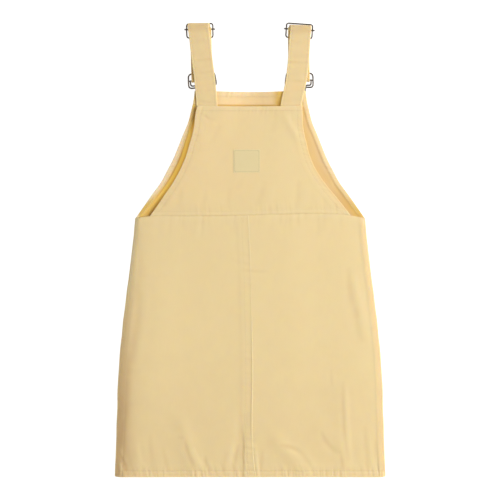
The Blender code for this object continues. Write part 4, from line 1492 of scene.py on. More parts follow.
@dataclass
class FrontSkirt:
    """The front skirt: flat on the surface, with both edges folded over onto the back."""

    finishes: Finishes
    hem_step: float = 0.9
    step: float = 2.6
    nose_points: int = 15
    lap_points: int = 11
    hem_reach: float = 186.0

    def section(self, y: Array) -> tuple[Array, Array]:
        """Plan x and z from seam to seam, round both sides, for each row.

        The lap runs down the back's slope, the nose is an arc of radius r about (half - r, r), and
        the flat is the surface itself.

        Args:
            y: Rows, as a column.

        Returns:
            x and z, each with a row for each y.
        """
        half = FORM.half_width(y)
        seam = self.seam(y)
        sides = []
        for sign in (-1.0, 1.0):
            angle = FORM.side_angle(sign + 0 * y, y)
            foot = half - SIDE_NOSE * (1 - np.sin(angle))
            evenly = np.linspace(0.15, 0.94, self.lap_points - 4)
            share = np.concatenate([[0, 0.01, 0.03, 0.07], evenly])[None, :]
            lap_x = sign * (seam + (foot - seam) * share)
            share = np.linspace(0, 1, self.nose_points)[None, :]
            turn = math.pi / 2 - angle - (math.pi - angle) * share
            nose_x = sign * (half - SIDE_NOSE + SIDE_NOSE * np.cos(turn))
            nose_z = SIDE_NOSE + SIDE_NOSE * np.sin(turn)
            x = np.concatenate([lap_x, nose_x], axis=1)
            z = np.concatenate([FORM.skirt_face(lap_x, y + 0 * lap_x), nose_z], axis=1)
            sides.append((x, z) if sign < 0 else (x[:, ::-1], z[:, ::-1]))
        flat = np.linspace(-1, 1, int(400 / self.step))[1:-1][None, :] * (half - SIDE_NOSE)
        x = np.concatenate([sides[0][0], flat, sides[1][0]], axis=1)
        z = np.concatenate([sides[0][1], 0 * flat, sides[1][1]], axis=1)
        return x, z

    def seam(self, y: Array) -> Array:
        """Place across of the side seams."""
        return FORM.skirt_at("half_width", y) - SIDE_SEAM_IN

    def build(self) -> list[Object]:
        """The panel and the sewing of its hem.

        Returns:
            The pieces.
        """
        rows = skirt_rows(self.hem_step, self.step)[:, None]
        x, z = self.section(rows)
        y = np.broadcast_to(rows, x.shape)
        under = z < 1e-6
        column = np.arange(x.shape[1])[None, :]
        on_back = (column < self.lap_points) | (column >= x.shape[1] - self.lap_points)
        mix = np.where(on_back, 0.0, np.clip(1 - z / (2 * SIDE_NOSE), 0, 1))
        waist = curve_at(BACK_WAIST, x) * (1 - mix) + curve_at(FRONT_WAIST, x) * mix - SEAM
        real_y = fitted_rows(x, y, waist)
        calm = ramp(self.seam(rows) + 8, self.seam(rows) - 4, np.abs(x)) * under
        relief = FORM.front_skirt_relief(x, real_y) * calm
        face = points_at(x, real_y, z + relief)
        hem = ramp(HEM_Y + SKIRT_HEM + 0.5, HEM_Y + SKIRT_HEM, y) * calm
        steps = np.hypot(np.diff(x, axis=1), np.diff(z, axis=1))
        round_it = np.concatenate([np.zeros((len(rows), 1)), np.cumsum(steps, axis=1)], axis=1)
        round_it -= round_it[:, -1:] / 2
        uv = points_at(round_it, real_y)
        edge = y - HEM_Y
        wear_and_shade = wear_and_shade_from(np.where(on_back, FORM.skirt_relief(x, real_y), -relief), edge,
                         FORM.skirt_painted_light_and_shade(x, real_y) * on_back)
        piece = add_shell("front_skirt_cloth", face, uv, CLOTH + TURN * hem, edge, -1, wear_and_shade)
        dress(piece, self.finishes.twill, "cotton_twill", "front_skirt")
        across = np.linspace(-self.hem_reach, self.hem_reach, ROW_POINTS)
        stitches = THREAD.row(points_at(across, FORM.hem_row), FORM.front_skirt_relief, Face.DOWN)
        sewing = add_sewing("front_skirt_stitches", [stitches], self.finishes.thread)
        return [piece, sewing]


def bib_rows(widths: Table, step: float) -> Array:
    """Nominal rows of a bib from its waist seam to its top edge."""
    return spread_with_edges(widths["y"][0], widths["y"][-1], step, EDGE_STEPS)


def bib_grid(widths: Table, rows: Array, low: Callable[[Array], Array],
             high: Callable[[Array], Array], step: float) -> tuple[Array, Array]:
    """Plan points of a bib, with rows up its curved armhole edges.

    Args:
        widths: The bib's table of half widths.
        rows: Nominal rows.
        low: The waist seam's height as a function of x.
        high: The top edge's height as a function of x.
        step: Distance between columns at the widest row.

    Returns:
        x and y of the points.
    """
    widest = float(widths["half_width"].max())
    share = spread_with_edges(-1, 1, step / widest, tuple(s / widest for s in EDGE_STEPS))[None, :]
    x = bib_half(widths, share, rows[:, None]) * share
    y = np.broadcast_to(rows[:, None], x.shape)
    lowest, highest = rows[0], rows[-1]
    real_y = y + (low(x) - lowest) * ramp(lowest + BIB_EASE, lowest, y)
    real_y = real_y + (high(x) - highest) * ramp(highest - BIB_EASE, highest, y)
    return x, real_y


@dataclass
class Bibs:
    """The two bibs; the front one is face down under the back one.

    A top is its edge's height in the middle, its rise to the corners and their place across. Rows
    are the half lengths of the waist and top rows, and the height where the armhole rows end.
    """

    finishes: Finishes
    step: float = 1.6
    front_step: float = 1.9
    back_top: Triple = (214.2, 0.8, 78.8)
    front_top: Triple = (236.7, 1.3, 83.0)
    back_rows: Triple = (146.0, 77.0, 206.0)
    front_rows: Triple = (164.0, 80.0, 229.0)

    def top_edge(self, top: Triple, x: Array) -> Array:
        """Height in Y of a bib's top edge, which rises to its corners."""
        middle, rise, reach = top
        return middle + rise * (x / reach) ** 2

    def armhole_line(self, widths: Table, inset: float, sign: int, top: float) -> Array:
        """A line in plan beside a bib's curved edge.

        Args:
            widths: The bib's table of half widths.
            inset: How far in from the edge.
            sign: -1 for the left edge, 1 for the right.
            top: Where the line ends.

        Returns:
            The line's points.
        """
        y = np.linspace(widths["y"][0] + 3, top, 200)
        half = bib_half(widths, sign, y)
        slope = bib_half(widths, sign, y + 1) - half
        return points_at(sign * (half - inset * np.sqrt(1 + slope ** 2)), y)

    def build_back(self) -> list[Object]:
        """The back bib and its sewing.

        Returns:
            The pieces.
        """
        rows = bib_rows(BACK_BIB, self.step)
        x, y = bib_grid(BACK_BIB, rows, lambda at: curve_at(BACK_WAIST, at) + SEAM,
                        lambda at: self.top_edge(self.back_top, at), self.step)
        face = points_at(x, y, FORM.bib_face(x, y))
        edge = FORM.armhole_distance(BACK_BIB, x, y)
        top = self.top_edge(self.back_top, x) - y
        turn = ramp(BIB_HEM + 0.5, BIB_HEM - 0.5, np.minimum(edge, top))
        free = edge_distance(x, y, "left right high")
        # Painted shade along the right armhole edge, against the pale rim there.
        wear_and_shade = wear_and_shade_from(FORM.bib_relief(x, y), free, -0.5 * ramp(3, 0, edge) * (x > 0))
        piece = add_shell("back_bib_cloth", face, points_at(x, y), CLOTH + TURN * turn,
                          free, 1, wear_and_shade, FORM.bib_painted_shade(x, y))
        dress(piece, self.finishes.twill, "cotton_twill", "back_bib")
        across = np.linspace(-1, 1, ROW_POINTS)
        low, high, end = self.back_rows
        lines = [
            points_at(low * across, curve_at(BACK_WAIST, low * across) + FORM.waist_row),
            points_at(high * across, FORM.bib_top_row),
        ]
        lines += [self.armhole_line(BACK_BIB, FORM.armhole_row, sign, end) for sign in (-1, 1)]
        stitches = [THREAD.row(line, FORM.bib_face, Face.UP) for line in lines]
        sewing = add_sewing("back_bib_stitches", stitches, self.finishes.thread)
        return [piece, sewing]

    def build_front(self) -> list[Object]:
        """The front bib and the sewing on both its faces.

        Returns:
            The pieces.
        """
        rows = bib_rows(FRONT_BIB, self.front_step)
        x, y = bib_grid(FRONT_BIB, rows, lambda at: curve_at(FRONT_WAIST, at) + SEAM,
                        lambda at: self.top_edge(self.front_top, at), self.front_step)
        face = points_at(x, y, FORM.front_bib_face(x, y))
        wall = CLOTH + FORM.front_bib_inside(x, y)
        free = edge_distance(x, y, "left right high")
        calmed = wall * (1 - 0.6 * ramp(20, 60, np.abs(x)))
        # The inside takes painted light, painted shade and a painted glow where the back bib and
        # straps shade it.
        piece = add_shell("front_bib_cloth", face, points_at(x, y), wall, free, -1,
                          wear_and_shade_from(-face[..., 2], free), 0.0, FORM.inside_painted_shade_and_glow(x, y),
                          wear_and_shade_from(calmed, free, FORM.inside_painted_light_and_shade(x, y)))
        dress(piece, self.finishes.twill, "cotton_twill", "front_bib")
        across = np.linspace(-1, 1, ROW_POINTS)

        def inside(at_x: Array, at_y: Array) -> Array:
            """Height of the bib's inner face."""
            return FORM.front_bib_face(at_x, at_y) + CLOTH + FORM.front_bib_inside(at_x, at_y)

        low, high, end = self.front_rows
        shown = [points_at(high * across, FORM.front_top_row)]
        shown += [self.armhole_line(FRONT_BIB, FORM.front_armhole_row, sign, end)
                  for sign in (-1, 1)]
        along = curve_at(FRONT_WAIST, low * across) + FORM.waist_row
        hidden = shown + [points_at(low * across, along)]
        stitches = [THREAD.row(line, inside, Face.UP) for line in shown]
        stitches += [THREAD.row(line, FORM.front_bib_face, Face.DOWN) for line in hidden]
        sewing = add_sewing("front_bib_stitches", stitches, self.finishes.thread)
        return [piece, sewing]


@dataclass
class LabelPatch:
    """The plain patch sewn on the back bib along its four sides."""

    finishes: Finishes
    width: float = 40.0
    height: float = 34.5
    centre: Pair = (-5.2, 132.4)
    wall: float = 0.34
    lift: float = 0.03
    row_in: float = 1.7
    step: float = 0.8
    rim_steps: tuple[float, ...] = (0.1, 0.3, 0.6, 1.2)
    cloth_shift: float = 500.0      # puts it on another stretch of the twill's pattern

    def face(self, x: Array, y: Array) -> Array:
        """Outer face: the bib's own, with the patch's wall, a sunk row round it and puckers.

        Args:
            x, y: Places across and along.

        Returns:
            The face's height.
        """
        across = self.width / 2 - np.abs(x - self.centre[0])
        along = self.height / 2 - np.abs(y - self.centre[1])
        inside = np.minimum(across, along)
        puckers = 0.03 * roping(x + y, 0 * x, 7.0, 18) * ramp(6, 2, inside)
        top = FORM.bib_face(x, y) + self.lift + self.wall
        return top - 0.08 * bell(inside - self.row_in, 0.8) + puckers

    def build(self) -> list[Object]:
        """The patch and its row of stitches.

        Returns:
            The pieces.
        """
        x, y = np.meshgrid(*(
            spread_with_edges(-size / 2, size / 2, self.step, self.rim_steps) + middle
            for size, middle in zip((self.width, self.height), self.centre)))
        face = points_at(x, y, self.face(x, y))
        edge = edge_distance(x, y, "left right low high")
        # Painted shade along the sunk row.
        wear_and_shade = wear_and_shade_from(-0.2 * bell(edge - self.row_in, 0.8), edge)
        piece = add_shell("label_patch_cloth", face, points_at(x, y) + self.cloth_shift,
                          np.full(x.shape, self.wall), edge, 1, wear_and_shade)
        dress(piece, self.finishes.patch, "patch_twill", "label_patch")
        wide, high = self.width / 2 - self.row_in, self.height / 2 - self.row_in
        corners = np.array([(-wide, -high), (wide, -high), (wide, high), (-wide, high)])
        corners = corners + self.centre
        rows = [THREAD.row(corners[[i, (i + 1) % 4]], self.face, Face.UP) for i in range(4)]
        sewing = add_sewing("label_patch_stitches", rows, self.finishes.patch_thread)
        return [piece, sewing]


# ---- Straps and hardware ----


@dataclass(frozen=True)
class Side:
    """Where one side's strap and hardware lie.

    The strap's fields are its middle line's X at the sewn end, at the back bib's edge, at the
    hook's height, half-way, at the fold, on the front run under the slider, and at the hook.
    """

    name: str
    start_x: float
    edge_x: float
    hook_high_x: float
    half_way_x: float
    fold_x: float
    slider_x: float
    hook_low_x: float
    fold_y: float
    fold_level: float
    slider_place: Pair
    slider_turn: float
    hook_place: Pair
    hook_turn: float
    creases: tuple[tuple[float, float, float, float], ...]


# Each crease across a strap's back run: its height in Y, half width, depth and lean.
SIDES = (
    Side("left", -64.2, -64.6, -68.0, -71.9, -78.0, -73.9, -72.0, 339.3, 5.85, (-75.5, 329.8), 1.0,
         (-72.2, 254.6), 7.0,
         ((334, 3.2, -0.30, 0.04), (325, 4.0, 0.20, 0.03), (311, 3.6, -0.42, 0.02),
          (300, 4.5, 0.20, -0.03), (284, 2.6, -0.55, 0.10), (277, 3.0, 0.28, 0.08),
          (265, 2.8, -0.42, 0.12), (252, 4.5, 0.22, 0.05), (238, 3.0, -0.32, 0.06),
          (221, 1.9, -0.34, -0.10), (229, 3.6, 0.16, 0.00))),
    Side("right", 60.2, 60.8, 69.0, 72.2, 75.9, 72.5, 73.3, 336.5, 4.9, (73.6, 329.41), -4.0,
         (73.8, 254.9), -3.0,
         ((327, 3.6, -0.20, 0.00), (310, 3.6, -0.34, -0.04), (299, 4.5, 0.20, 0.00),
          (289, 3.0, -0.26, 0.04), (280, 2.2, -0.60, -0.04), (274, 3.0, 0.26, 0.00),
          (262, 4.0, -0.16, 0.05), (252, 2.6, -0.42, -0.06), (246, 3.4, 0.20, 0.00),
          (237, 2.8, -0.32, 0.08), (224, 3.4, -0.18, 0.05))),
)


@dataclass
class Strap:
    """A shoulder strap: one strip over the shoulder, round the hook and back to the slider."""

    side: Side
    finishes: Finishes
    start_y: float = 198.0
    bib_top_y: float = 214.0
    back_level: float = 8.3
    fold_radius: float = 3.55
    row_in: float = 3.6
    step: float = 1.1
    rim_steps: tuple[float, ...] = (0.1, 0.3, 0.7, 1.3)
    back_points: int = 60

    def arc(self, centre: Pair, radius: float, start: float, end: float,
            count: int) -> Array:
        """Points (y, z) of an arc about a centre, angles in degrees from +Y."""
        turn = np.radians(np.linspace(start, end, count))
        return centre + radius * points_at(np.cos(turn), np.sin(turn))

    def path(self) -> Array:
        """Middle line of the strap, as stretches that follow one another.

        It runs up the back, over the shoulder fold, under the slider and over its low bar, over
        the hook's top bar, round its cross bar, back up, and round the slider's centre bar.

        Returns:
            Rows of x, y, z and skew, the ribbon's rise in Y for each millimetre across.
        """
        s = self.side
        slider_skew, hook_skew = np.tan(np.radians([s.slider_turn, s.hook_turn]))
        slider_y = s.slider_place[1] + (s.slider_x - s.slider_place[0]) * slider_skew
        hook_y = s.hook_place[1] + (s.hook_low_x - s.hook_place[0]) * hook_skew
        low_bar_y, top_bar_y = slider_y + Slider.low, hook_y + Hook.top
        fold = (s.fold_y - STRAP / 2 - self.fold_radius, s.fold_level)
        bar_radius = Slider.bar + GAP + STRAP / 2
        hook_radius = Hook.bar + GAP + STRAP / 2

        def skew(y: Array) -> Array:
            """The ribbon's turn on the way from the hook to the slider."""
            return np.interp(y, [top_bar_y + 4, low_bar_y - 5], [hook_skew, slider_skew])

        def low_x(y: Array) -> Array:
            """Middle line's place across between the hook and the slider."""
            return np.interp(y, [hook_y, low_bar_y], [s.hook_low_x, s.slider_x])

        keys = table(
            ("y", "x", "z"),
            (self.start_y, s.start_x, self.back_level + 0.05),
            (self.bib_top_y, s.edge_x, self.back_level + 0.05),
            (hook_y, s.hook_high_x, self.back_level), (284.7, s.half_way_x, self.back_level),
            (318.0, 0.4 * s.half_way_x + 0.6 * s.fold_x, self.back_level + 0.05),
            (fold[0], s.fold_x, fold[1] + self.fold_radius),
        )
        y = np.linspace(self.start_y, fold[0], self.back_points)
        x, z = (smooth_curve(keys["y"], keys[column], y) for column in ("x", "z"))
        back = points_at(x, y, z, 0)
        turn = self.arc(fold, self.fold_radius, 90, -90, 17)[1:]
        share = np.linspace(0, 1, 17)[1:]
        over = points_at(s.fold_x + (s.slider_x - s.fold_x) * share * 0.6, turn[:, 0], turn[:, 1],
                         slider_skew * share)
        under_slider = Slider.bar_level - bar_radius - STRAP - GAP
        over_slider = Slider.low_level + Slider.wire + GAP + STRAP / 2
        over_hook = Hook.top_level + Hook.wire + GAP + STRAP / 2
        rest = GAP + STRAP / 2
        keys = table(
            ("y", "z"),
            (slider_y, under_slider), (low_bar_y + 6, under_slider + 0.7),
            (low_bar_y + 1, over_slider), (low_bar_y - 1, over_slider),
            (low_bar_y - 8, rest + 0.8), (low_bar_y - 16, rest),
            (top_bar_y + 12, rest), (top_bar_y + 5, rest + 1.2),
            (top_bar_y + 0.8, over_hook), (top_bar_y - 0.8, over_hook),
            (hook_y + 5, over_hook - 1.0), (hook_y, Hook.frame_level - hook_radius),
        )
        front = points_at(low_x(keys["y"]), keys["y"], keys["z"], skew(keys["y"]))
        turn = self.arc((hook_y, Hook.frame_level), hook_radius, 270, 90, 13)[1:]
        loop = points_at(s.hook_low_x, turn[:, 0], turn[:, 1], hook_skew)
        bar_top = Slider.bar_level + bar_radius
        keys = table(
            ("y", "z"),
            (top_bar_y - 4, Hook.frame_level + hook_radius - 0.1), (top_bar_y, 5.4),
            (top_bar_y + 8, 4.2), (top_bar_y + 20, 3.4), (low_bar_y - 12, 3.6), (low_bar_y, 5.5),
            (slider_y - 6, bar_top - 0.3), (slider_y, bar_top),
        )
        up = points_at(low_x(keys["y"]), keys["y"], keys["z"], skew(keys["y"]))
        turn = self.arc((slider_y, Slider.bar_level), bar_radius, 90, -90, 13)[1:]
        round_bar = points_at(s.slider_x, turn[:, 0], turn[:, 1], slider_skew)
        end = points_at(s.slider_x, slider_y - np.array([4.0, 7.5]),
                        Slider.bar_level - bar_radius + np.array([0.45, 1.35]), slider_skew)
        return np.concatenate([back, over, front, loop, up, round_bar, end])

    def ribbon(self, along: Array, across: Array) -> tuple[Array, Array]:
        """Outer face and its normals at lengths along and offsets across.

        point = path(s) + offset . (1, skew, 0), moved out by half the wall and by the relief.

        Args:
            along: Lengths along the middle line.
            across: Offsets from it.

        Returns:
            Points of the outer face and the normals of the middle line.
        """
        path = self.path()
        length = lengths_along(path[:, :3])
        x, y, z, skew = (np.interp(along, length, path[:, i]) for i in range(4))
        step_y, step_z = change_along(along, 0.3, length, path[:, 1:3])
        size = np.hypot(step_y, step_z)
        normal = points_at(0, -step_z / size, step_y / size)
        height = self.relief(along, across, y, length[-1]) + STRAP / 2
        points = points_at(x + across, y + skew * across, z)
        return points + normal * height[..., None], normal

    def relief(self, along: Array, across: Array, y: Array, total: float) -> Array:
        """Sunk rows near both edges, uneven cloth, and on the back run the creases across it.

        Args:
            along: Lengths along the middle line.
            across: Offsets from it.
            y: Places along the garment.
            total: Length of the whole strap.

        Returns:
            The relief.
        """
        inside = STRAP_WIDTH / 2 - np.abs(across)
        seed = 20 if self.side.name == "left" else 30
        relief = 0.03 * unevenness(along, across, 16, seed) - 0.10 * bell(inside - self.row_in, 0.8)
        relief = relief + 0.05 * ramp(8, 2, inside) * roping(along, 0.3 * across, 7.0, seed + 1)
        back_run = ramp(150, 142, along)
        for place, width, depth, lean in self.side.creases:
            off = y - place - lean * across
            uneven = 0.75 + 0.25 * np.sin(0.21 * across + place)
            relief = relief + 0.32 * back_run * depth * uneven * bell(off, width)
        hidden_run = (1 - back_run) * ramp(total, total - 12, along)
        return relief + 0.16 * hidden_run * unevenness(along, 0.3 * across, 24, seed + 2)

    def build(self) -> list[Object]:
        """The strap and the sewing along both its edges.

        Returns:
            The pieces.
        """
        path = self.path()
        length = lengths_along(path[:, :3])
        total = float(length[-1])
        along = spread_with_edges(0, total, self.step, self.rim_steps)[:, None]
        across = spread_with_edges(-STRAP_WIDTH / 2, STRAP_WIDTH / 2, self.step, self.rim_steps)
        along, across = np.broadcast_arrays(along, across)
        outer, normal = self.ribbon(along, across)
        edge = STRAP_WIDTH / 2 - np.abs(across)
        share = rounded_edge(np.minimum(np.minimum(along, total - along), edge), STRAP)
        half = normal * STRAP / 2
        middle = outer - half
        front = middle + half * share[..., None]
        back = middle - half * share[..., None]
        y = np.interp(along, length, path[:, 1])
        top = ramp(14, 4, np.abs(along - np.interp(self.side.fold_y - 4, path[:self.back_points, 1],
                                                         length[:self.back_points])))
        # Painted shade: the whole strap a little darker and most near the shoulder fold, and half
        # the painted shade colour from just past the fold on.
        wear_and_shade = wear_and_shade_from(self.relief(along, across, y, total), edge, -0.12 - 0.3 * top)
        painted_shade_and_glow = 0.5 * ramp(148, 158, along)
        uv = points_at(across, along).reshape(-1, 2)
        name = "strap_" + self.side.name
        vertices = np.concatenate([front.reshape(-1, 3), back.reshape(-1, 3)])
        piece = add_piece(name + "_cloth", vertices, shell_faces(*along.shape), np.tile(uv, (2, 1)),
                          np.tile(wear_and_shade.ravel(), 2), np.tile(painted_shade_and_glow.ravel(), 2), sharp_above=60)
        dress(piece, self.finishes.twill, "cotton_twill", name)
        rows_of_stitches = []
        at = (np.arange(int(total / THREAD.pitch)) + 0.5) * THREAD.pitch
        for sign in (-1, 1):
            off = np.full(at.shape, sign * (STRAP_WIDTH / 2 - self.row_in))
            point, out = self.ribbon(at, off)
            before, _ = self.ribbon(at - THREAD.reach, off)
            after, _ = self.ribbon(at + THREAD.reach, off)
            rows_of_stitches.append(THREAD.stitches(point + out * THREAD.lift, after - before, out))
            below = point - out * STRAP
            rows_of_stitches.append(THREAD.stitches(below - out * 0.02, after - before, -out))
        sewing = add_sewing(name + "_stitches", rows_of_stitches, self.finishes.thread)
        return [piece, sewing]


def rounded_path(corners: list[Pair], cut: float, closed: bool,
                 count: int = 9) -> Array:
    """Plan path whose corners are rounded by the parabola (1-t)^2 a + 2t(1-t) c + t^2 b.

    Args:
        corners: Its corners.
        cut: How far from a corner c its curve starts and ends, at a and b.
        closed: True where the last corner joins the first.
        count: Points in each curve.

    Returns:
        The path's points.
    """
    points = [np.array(corner, dtype=float) for corner in corners]
    path = []
    for i, corner in enumerate(points):
        if not closed and i in (0, len(points) - 1):
            path.append(corner[None])
            continue
        before, after = points[i - 1] - corner, points[(i + 1) % len(points)] - corner
        start = corner + before / np.linalg.norm(before) * min(cut, np.linalg.norm(before) / 2.1)
        end = corner + after / np.linalg.norm(after) * min(cut, np.linalg.norm(after) / 2.1)
        t = np.linspace(0, 1, count)[:, None]
        path.append((1 - t) ** 2 * start + 2 * t * (1 - t) * corner + t ** 2 * end)
    return np.concatenate(path)


def stepped(path: Array, step: float, closed: bool) -> Array:
    """A plan path with a point about every step along it.

    Args:
        path: The path's points.
        step: The step.
        closed: True where its end joins its start.

    Returns:
        The new points.
    """
    loop = np.concatenate([path, path[:1]]) if closed else path
    length = lengths_along(loop)
    count = int(length[-1] / step)
    at = np.linspace(0, length[-1], count + 1)
    at = at[:-1] if closed else at
    return np.stack([np.interp(at, length, loop[:, i]) for i in (0, 1)], axis=1)


def placed(plan: Array, level: Array, place: Pair, turn: float) -> Array:
    """Plan points turned and moved to their place, at their levels.

    Args:
        plan: Points (x, y).
        level: Their heights.
        place: Where their origin goes.
        turn: Their turn in degrees.

    Returns:
        Points (x, y, z).
    """
    angle = math.radians(turn)
    x = place[0] + plan[:, 0] * math.cos(angle) - plan[:, 1] * math.sin(angle)
    y = place[1] + plan[:, 0] * math.sin(angle) + plan[:, 1] * math.cos(angle)
    return points_at(x, y, level)


@dataclass
class Slider:
    """A wire slider: a rounded frame, bent over a thicker centre bar whose ends stand out."""

    side: Side
    finishes: Finishes
    half_width: float = 19.6
    top: float = 9.1
    low: float = -12.1
    corner: float = 4.0
    bar_end: float = 22.0
    bar_up: float = 0.1
    wire: float = 1.0
    bar: float = 1.1
    bar_level: float = 4.6
    top_level: float = 1.9
    low_level: float = 1.25

    def level(self, up: Array) -> Array:
        """Height of the wire: bar level - drop . share^1.4.

        Args:
            up: Places up from the slider's middle, in its own plan.

        Returns:
            The heights.
        """
        end_level = np.where(up < 0, self.low_level, self.top_level)
        share = np.clip(up / np.where(up < 0, self.low, self.top), 0, 1)
        return self.bar_level - (self.bar_level - end_level) * share ** 1.4

    def build(self) -> list[Object]:
        """The slider as one piece of wire tubes.

        Returns:
            The pieces.
        """
        wide = self.half_width
        corners = [(wide, self.top), (-wide, self.top), (-wide, self.low), (wide, self.low)]
        frame_path = stepped(rounded_path(corners, self.corner, True), 0.8, True)
        bar_path = points_at(np.linspace(-self.bar_end, self.bar_end, 24), self.bar_up)
        parts = [
            tube(placed(path, self.level(path[:, 1]), self.side.slider_place,
                        self.side.slider_turn), radius, closed)
            for path, radius, closed in ((frame_path, self.wire, True), (bar_path, self.bar, False))
        ]
        name = "slider_" + self.side.name
        piece = add_piece(name + "_wire", *joined(parts))
        return [dress(piece, self.finishes.wire, "nickel_wire", name)]


@dataclass
class Hook:
    """A wire hook: a frame with a cross bar, and an inner wire down into the keyhole loop."""

    side: Side
    finishes: Finishes
    top: float = 10.6
    low: float = -11.0
    top_half: float = 19.5
    side_half: float = 20.4
    low_half: float = 21.2
    corner: float = 5.5
    loop_bar: float = -7.8
    loop_side: float = 17.6
    keyhole_wide: float = 9.6
    keyhole_narrow: float = 3.5
    keyhole_levels: Triple = (-15.0, -23.0, -31.0)
    shank_place: float = -35.3
    wire: float = 1.1
    bar: float = 1.0
    loop: float = 1.05
    loop_drop: float = 0.1
    frame_level: float = 3.8
    top_level: float = 1.35

    def level(self, up: Array) -> Array:
        """Height of the wire: level, then bent down to the top bar under the strap."""
        return self.frame_level - (self.frame_level - self.top_level) * ramp(0.5, self.top, up)

    def build(self) -> list[Object]:
        """The hook as one piece of wire tubes.

        Returns:
            The pieces.
        """
        frame_corners = [(self.top_half, self.top), (-self.top_half, self.top),
                         (-self.low_half, self.low), (self.low_half, self.low)]
        frame_path = stepped(rounded_path(frame_corners, self.corner, True), 0.8, True)
        bar_path = points_at(np.linspace(-self.side_half, self.side_half, 30), 0)
        upper, waist, lower = self.keyhole_levels
        left = [(-self.loop_side, 0.2), (-self.loop_side, self.loop_bar),
                (-self.keyhole_wide, self.loop_bar), (-self.keyhole_wide, upper),
                (-self.keyhole_wide, waist), (-self.keyhole_narrow, lower)]
        bottom = self.shank_place - self.keyhole_narrow - 0.6
        corners = left + [(-self.keyhole_narrow, bottom), (self.keyhole_narrow, bottom)]
        corners += [(-x, y) for x, y in reversed(left)]
        loop_path = stepped(rounded_path(corners, 3.2, False, 7), 0.7, False)
        parts = [
            tube(placed(path, self.level(path[:, 1]) - drop, self.side.hook_place,
                        self.side.hook_turn), radius, closed)
            for path, drop, radius, closed in (
                (frame_path, 0.0, self.wire, True), (bar_path, 0.0, self.bar, False),
                (loop_path, self.loop_drop, self.loop, False))
        ]
        name = "hook_" + self.side.name
        piece = add_piece(name + "_wire", *joined(parts))
        return [dress(piece, self.finishes.wire, "nickel_wire", name)]


@dataclass
class Button:
    """A shank button, face down: a domed head with a rolled rim, and a shank up through the bib."""

    side: Side
    finishes: Finishes
    radius: float = 8.5
    shank: float = 2.0
    floor: float = 0.2
    back: float = 2.4
    top: float = 4.9
    sides: int = 48

    def build(self) -> list[Object]:
        """The button as a turned profile: rings r(cos a, sin a), closed at both poles.

        Returns:
            The pieces.
        """
        head = np.array([
            (0.05, 0.35), (2.0, 0.30), (4.0, 0.12), (5.2, 0.0), (6.0, 0.05), (6.5, 0.40),
            (6.9, 0.45), (7.4, 0.22), (8.0, 0.50), (8.35, 0.95), (self.radius, 1.5),
        ])
        shank = np.array([
            (8.3, self.back - 0.2), (7.7, self.back), (3.2, self.back),
            (self.shank, self.back + 0.3), (self.shank, self.top - 0.2),
            (self.shank - 0.4, self.top), (0.05, self.top),
        ])
        profile = np.concatenate([head + (0, self.floor), shank])
        angle = math.radians(self.side.hook_turn)
        x0 = self.side.hook_place[0] - Hook.shank_place * math.sin(angle)
        y0 = self.side.hook_place[1] + Hook.shank_place * math.cos(angle)
        turn = np.arange(self.sides) * 2 * math.pi / self.sides
        x = x0 + profile[:, 0:1] * np.cos(turn)[None, :]
        y = y0 + profile[:, 0:1] * np.sin(turn)[None, :]
        cap = cap_faces(self.sides)
        quads = np.concatenate([ring_faces(len(profile), self.sides), cap[:, ::-1],
                                cap + (len(profile) - 1) * self.sides])
        name = "bib_button_" + self.side.name
        vertices = points_at(x, y, profile[:, 1:2]).reshape(-1, 3)
        piece = add_piece(name + "_metal", vertices, quads, sharp_above=40)
        return [dress(piece, self.finishes.button, "nickel_wire", name)]


# ---- Studio ----


@dataclass(frozen=True)
class SoftBox:
    """An area light: where it stands, what it looks at, its size, its power and its colour."""

    name: str
    place: Triple
    aim: Triple
    size: float
    power: float
    colour: Triple = (1.0, 1.0, 1.0)

    def build(self) -> None:
        """Adds the light."""
        data = bpy.data.lights.new(self.name, "AREA")
        data.shape = "DISK"
        data.size = self.size
        data.energy = self.power
        data.color = self.colour
        light = bpy.data.objects.new(self.name, data)
        light.location = self.place
        ahead = Vector(self.aim) - Vector(self.place)
        light.rotation_euler = ahead.to_track_quat("-Z", "Y").to_euler()
        bpy.context.scene.collection.objects.link(light)


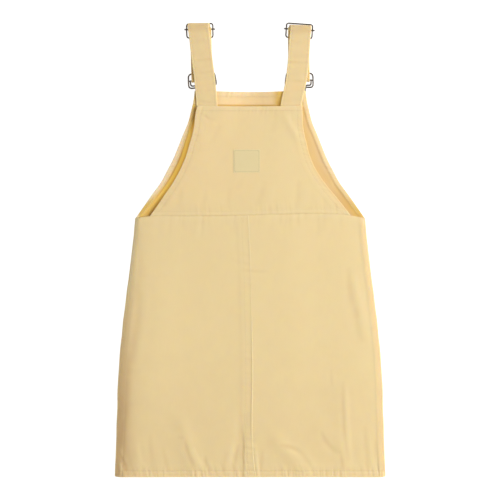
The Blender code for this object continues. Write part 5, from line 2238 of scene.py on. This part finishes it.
@dataclass
class Studio:
    """Pale floor, soft light and a camera that looks straight down, as over a flat lay."""

    view_width: float = 0.750
    lens: float = 100.0
    sensor: float = 36.0
    middle: Pair = (-0.0003, -0.0003)
    clip_end: float = 90.0
    floor_half: float = 30.0
    floor_level: float = -0.0006
    floor_grey: float = 0.30
    floor_glow: float = 0.95
    fill: float = 0.355
    fill_colour: Triple = (1.0, 0.91, 0.78)
    key: SoftBox = SoftBox("key_softbox", (2.45, 0.25, 2.15), (0.0, 0.05, 0.0), 2.0, 115.0)

    def build_floor(self) -> None:
        """A plain white floor that mostly glows, so that it stays pale with hardly any shadow."""
        mesh = bpy.data.meshes.new("studio_floor")
        corners = [(x * self.floor_half, y * self.floor_half, self.floor_level)
                   for x, y in ((-1, -1), (1, -1), (1, 1), (-1, 1))]
        mesh.from_pydata(corners, [], [(0, 1, 2, 3)])
        floor = bpy.data.objects.new("studio_floor", mesh)
        bpy.context.scene.collection.objects.link(floor)
        material, shader = empty_material("white_paper_floor")
        fill(material, shader, {
            "Base Color": (*(self.floor_grey,) * 3, 1), "Roughness": 1.0, "Specular IOR Level": 0.0,
            "Emission Color": (1, 1, 1, 1), "Emission Strength": self.floor_glow,
        })
        mesh.materials.append(material)

    def build_camera(self) -> None:
        """The camera, from its lens and the width that it sees."""
        data = bpy.data.cameras.new("camera")
        data.lens = self.lens
        data.sensor_width = self.sensor
        data.sensor_fit = "HORIZONTAL"
        data.clip_end = self.clip_end
        camera = bpy.data.objects.new("camera", data)
        camera.location = (*self.middle, self.view_width * self.lens / self.sensor)
        bpy.context.scene.collection.objects.link(camera)
        bpy.context.scene.camera = camera

    def build_world(self) -> None:
        """Even light from all round, warm as after a bounce in a pale room."""
        world = bpy.data.worlds.new("studio_world")
        world.use_nodes = True
        background = world.node_tree.nodes["Background"]
        background.inputs["Color"].default_value = (*self.fill_colour, 1.0)
        background.inputs["Strength"].default_value = self.fill
        bpy.context.scene.world = world

    def build(self) -> None:
        """Floor, lights, camera and the view transform."""
        self.build_floor()
        self.build_camera()
        self.build_world()
        self.key.build()
        bpy.context.scene.view_settings.view_transform = "Standard"


def main() -> None:
    """Builds the pieces in the order in which they lie and reports each, then the studio."""
    logging.basicConfig(level=logging.INFO, format="%(name)s: %(message)s")
    finishes = Finishes()
    bibs = Bibs(finishes)
    steps = [kind(side, finishes).build for side in SIDES for kind in (Button, Hook, Slider, Strap)]
    steps += [FrontSkirt(finishes).build, bibs.build_front, BackSkirt(finishes).build,
              bibs.build_back, LabelPatch(finishes).build]
    for build in steps:
        for piece in build():
            log.info("%s: %d points", piece.name, len(piece.data.vertices))
    Studio().build()


if __name__ == "__main__":
    main()
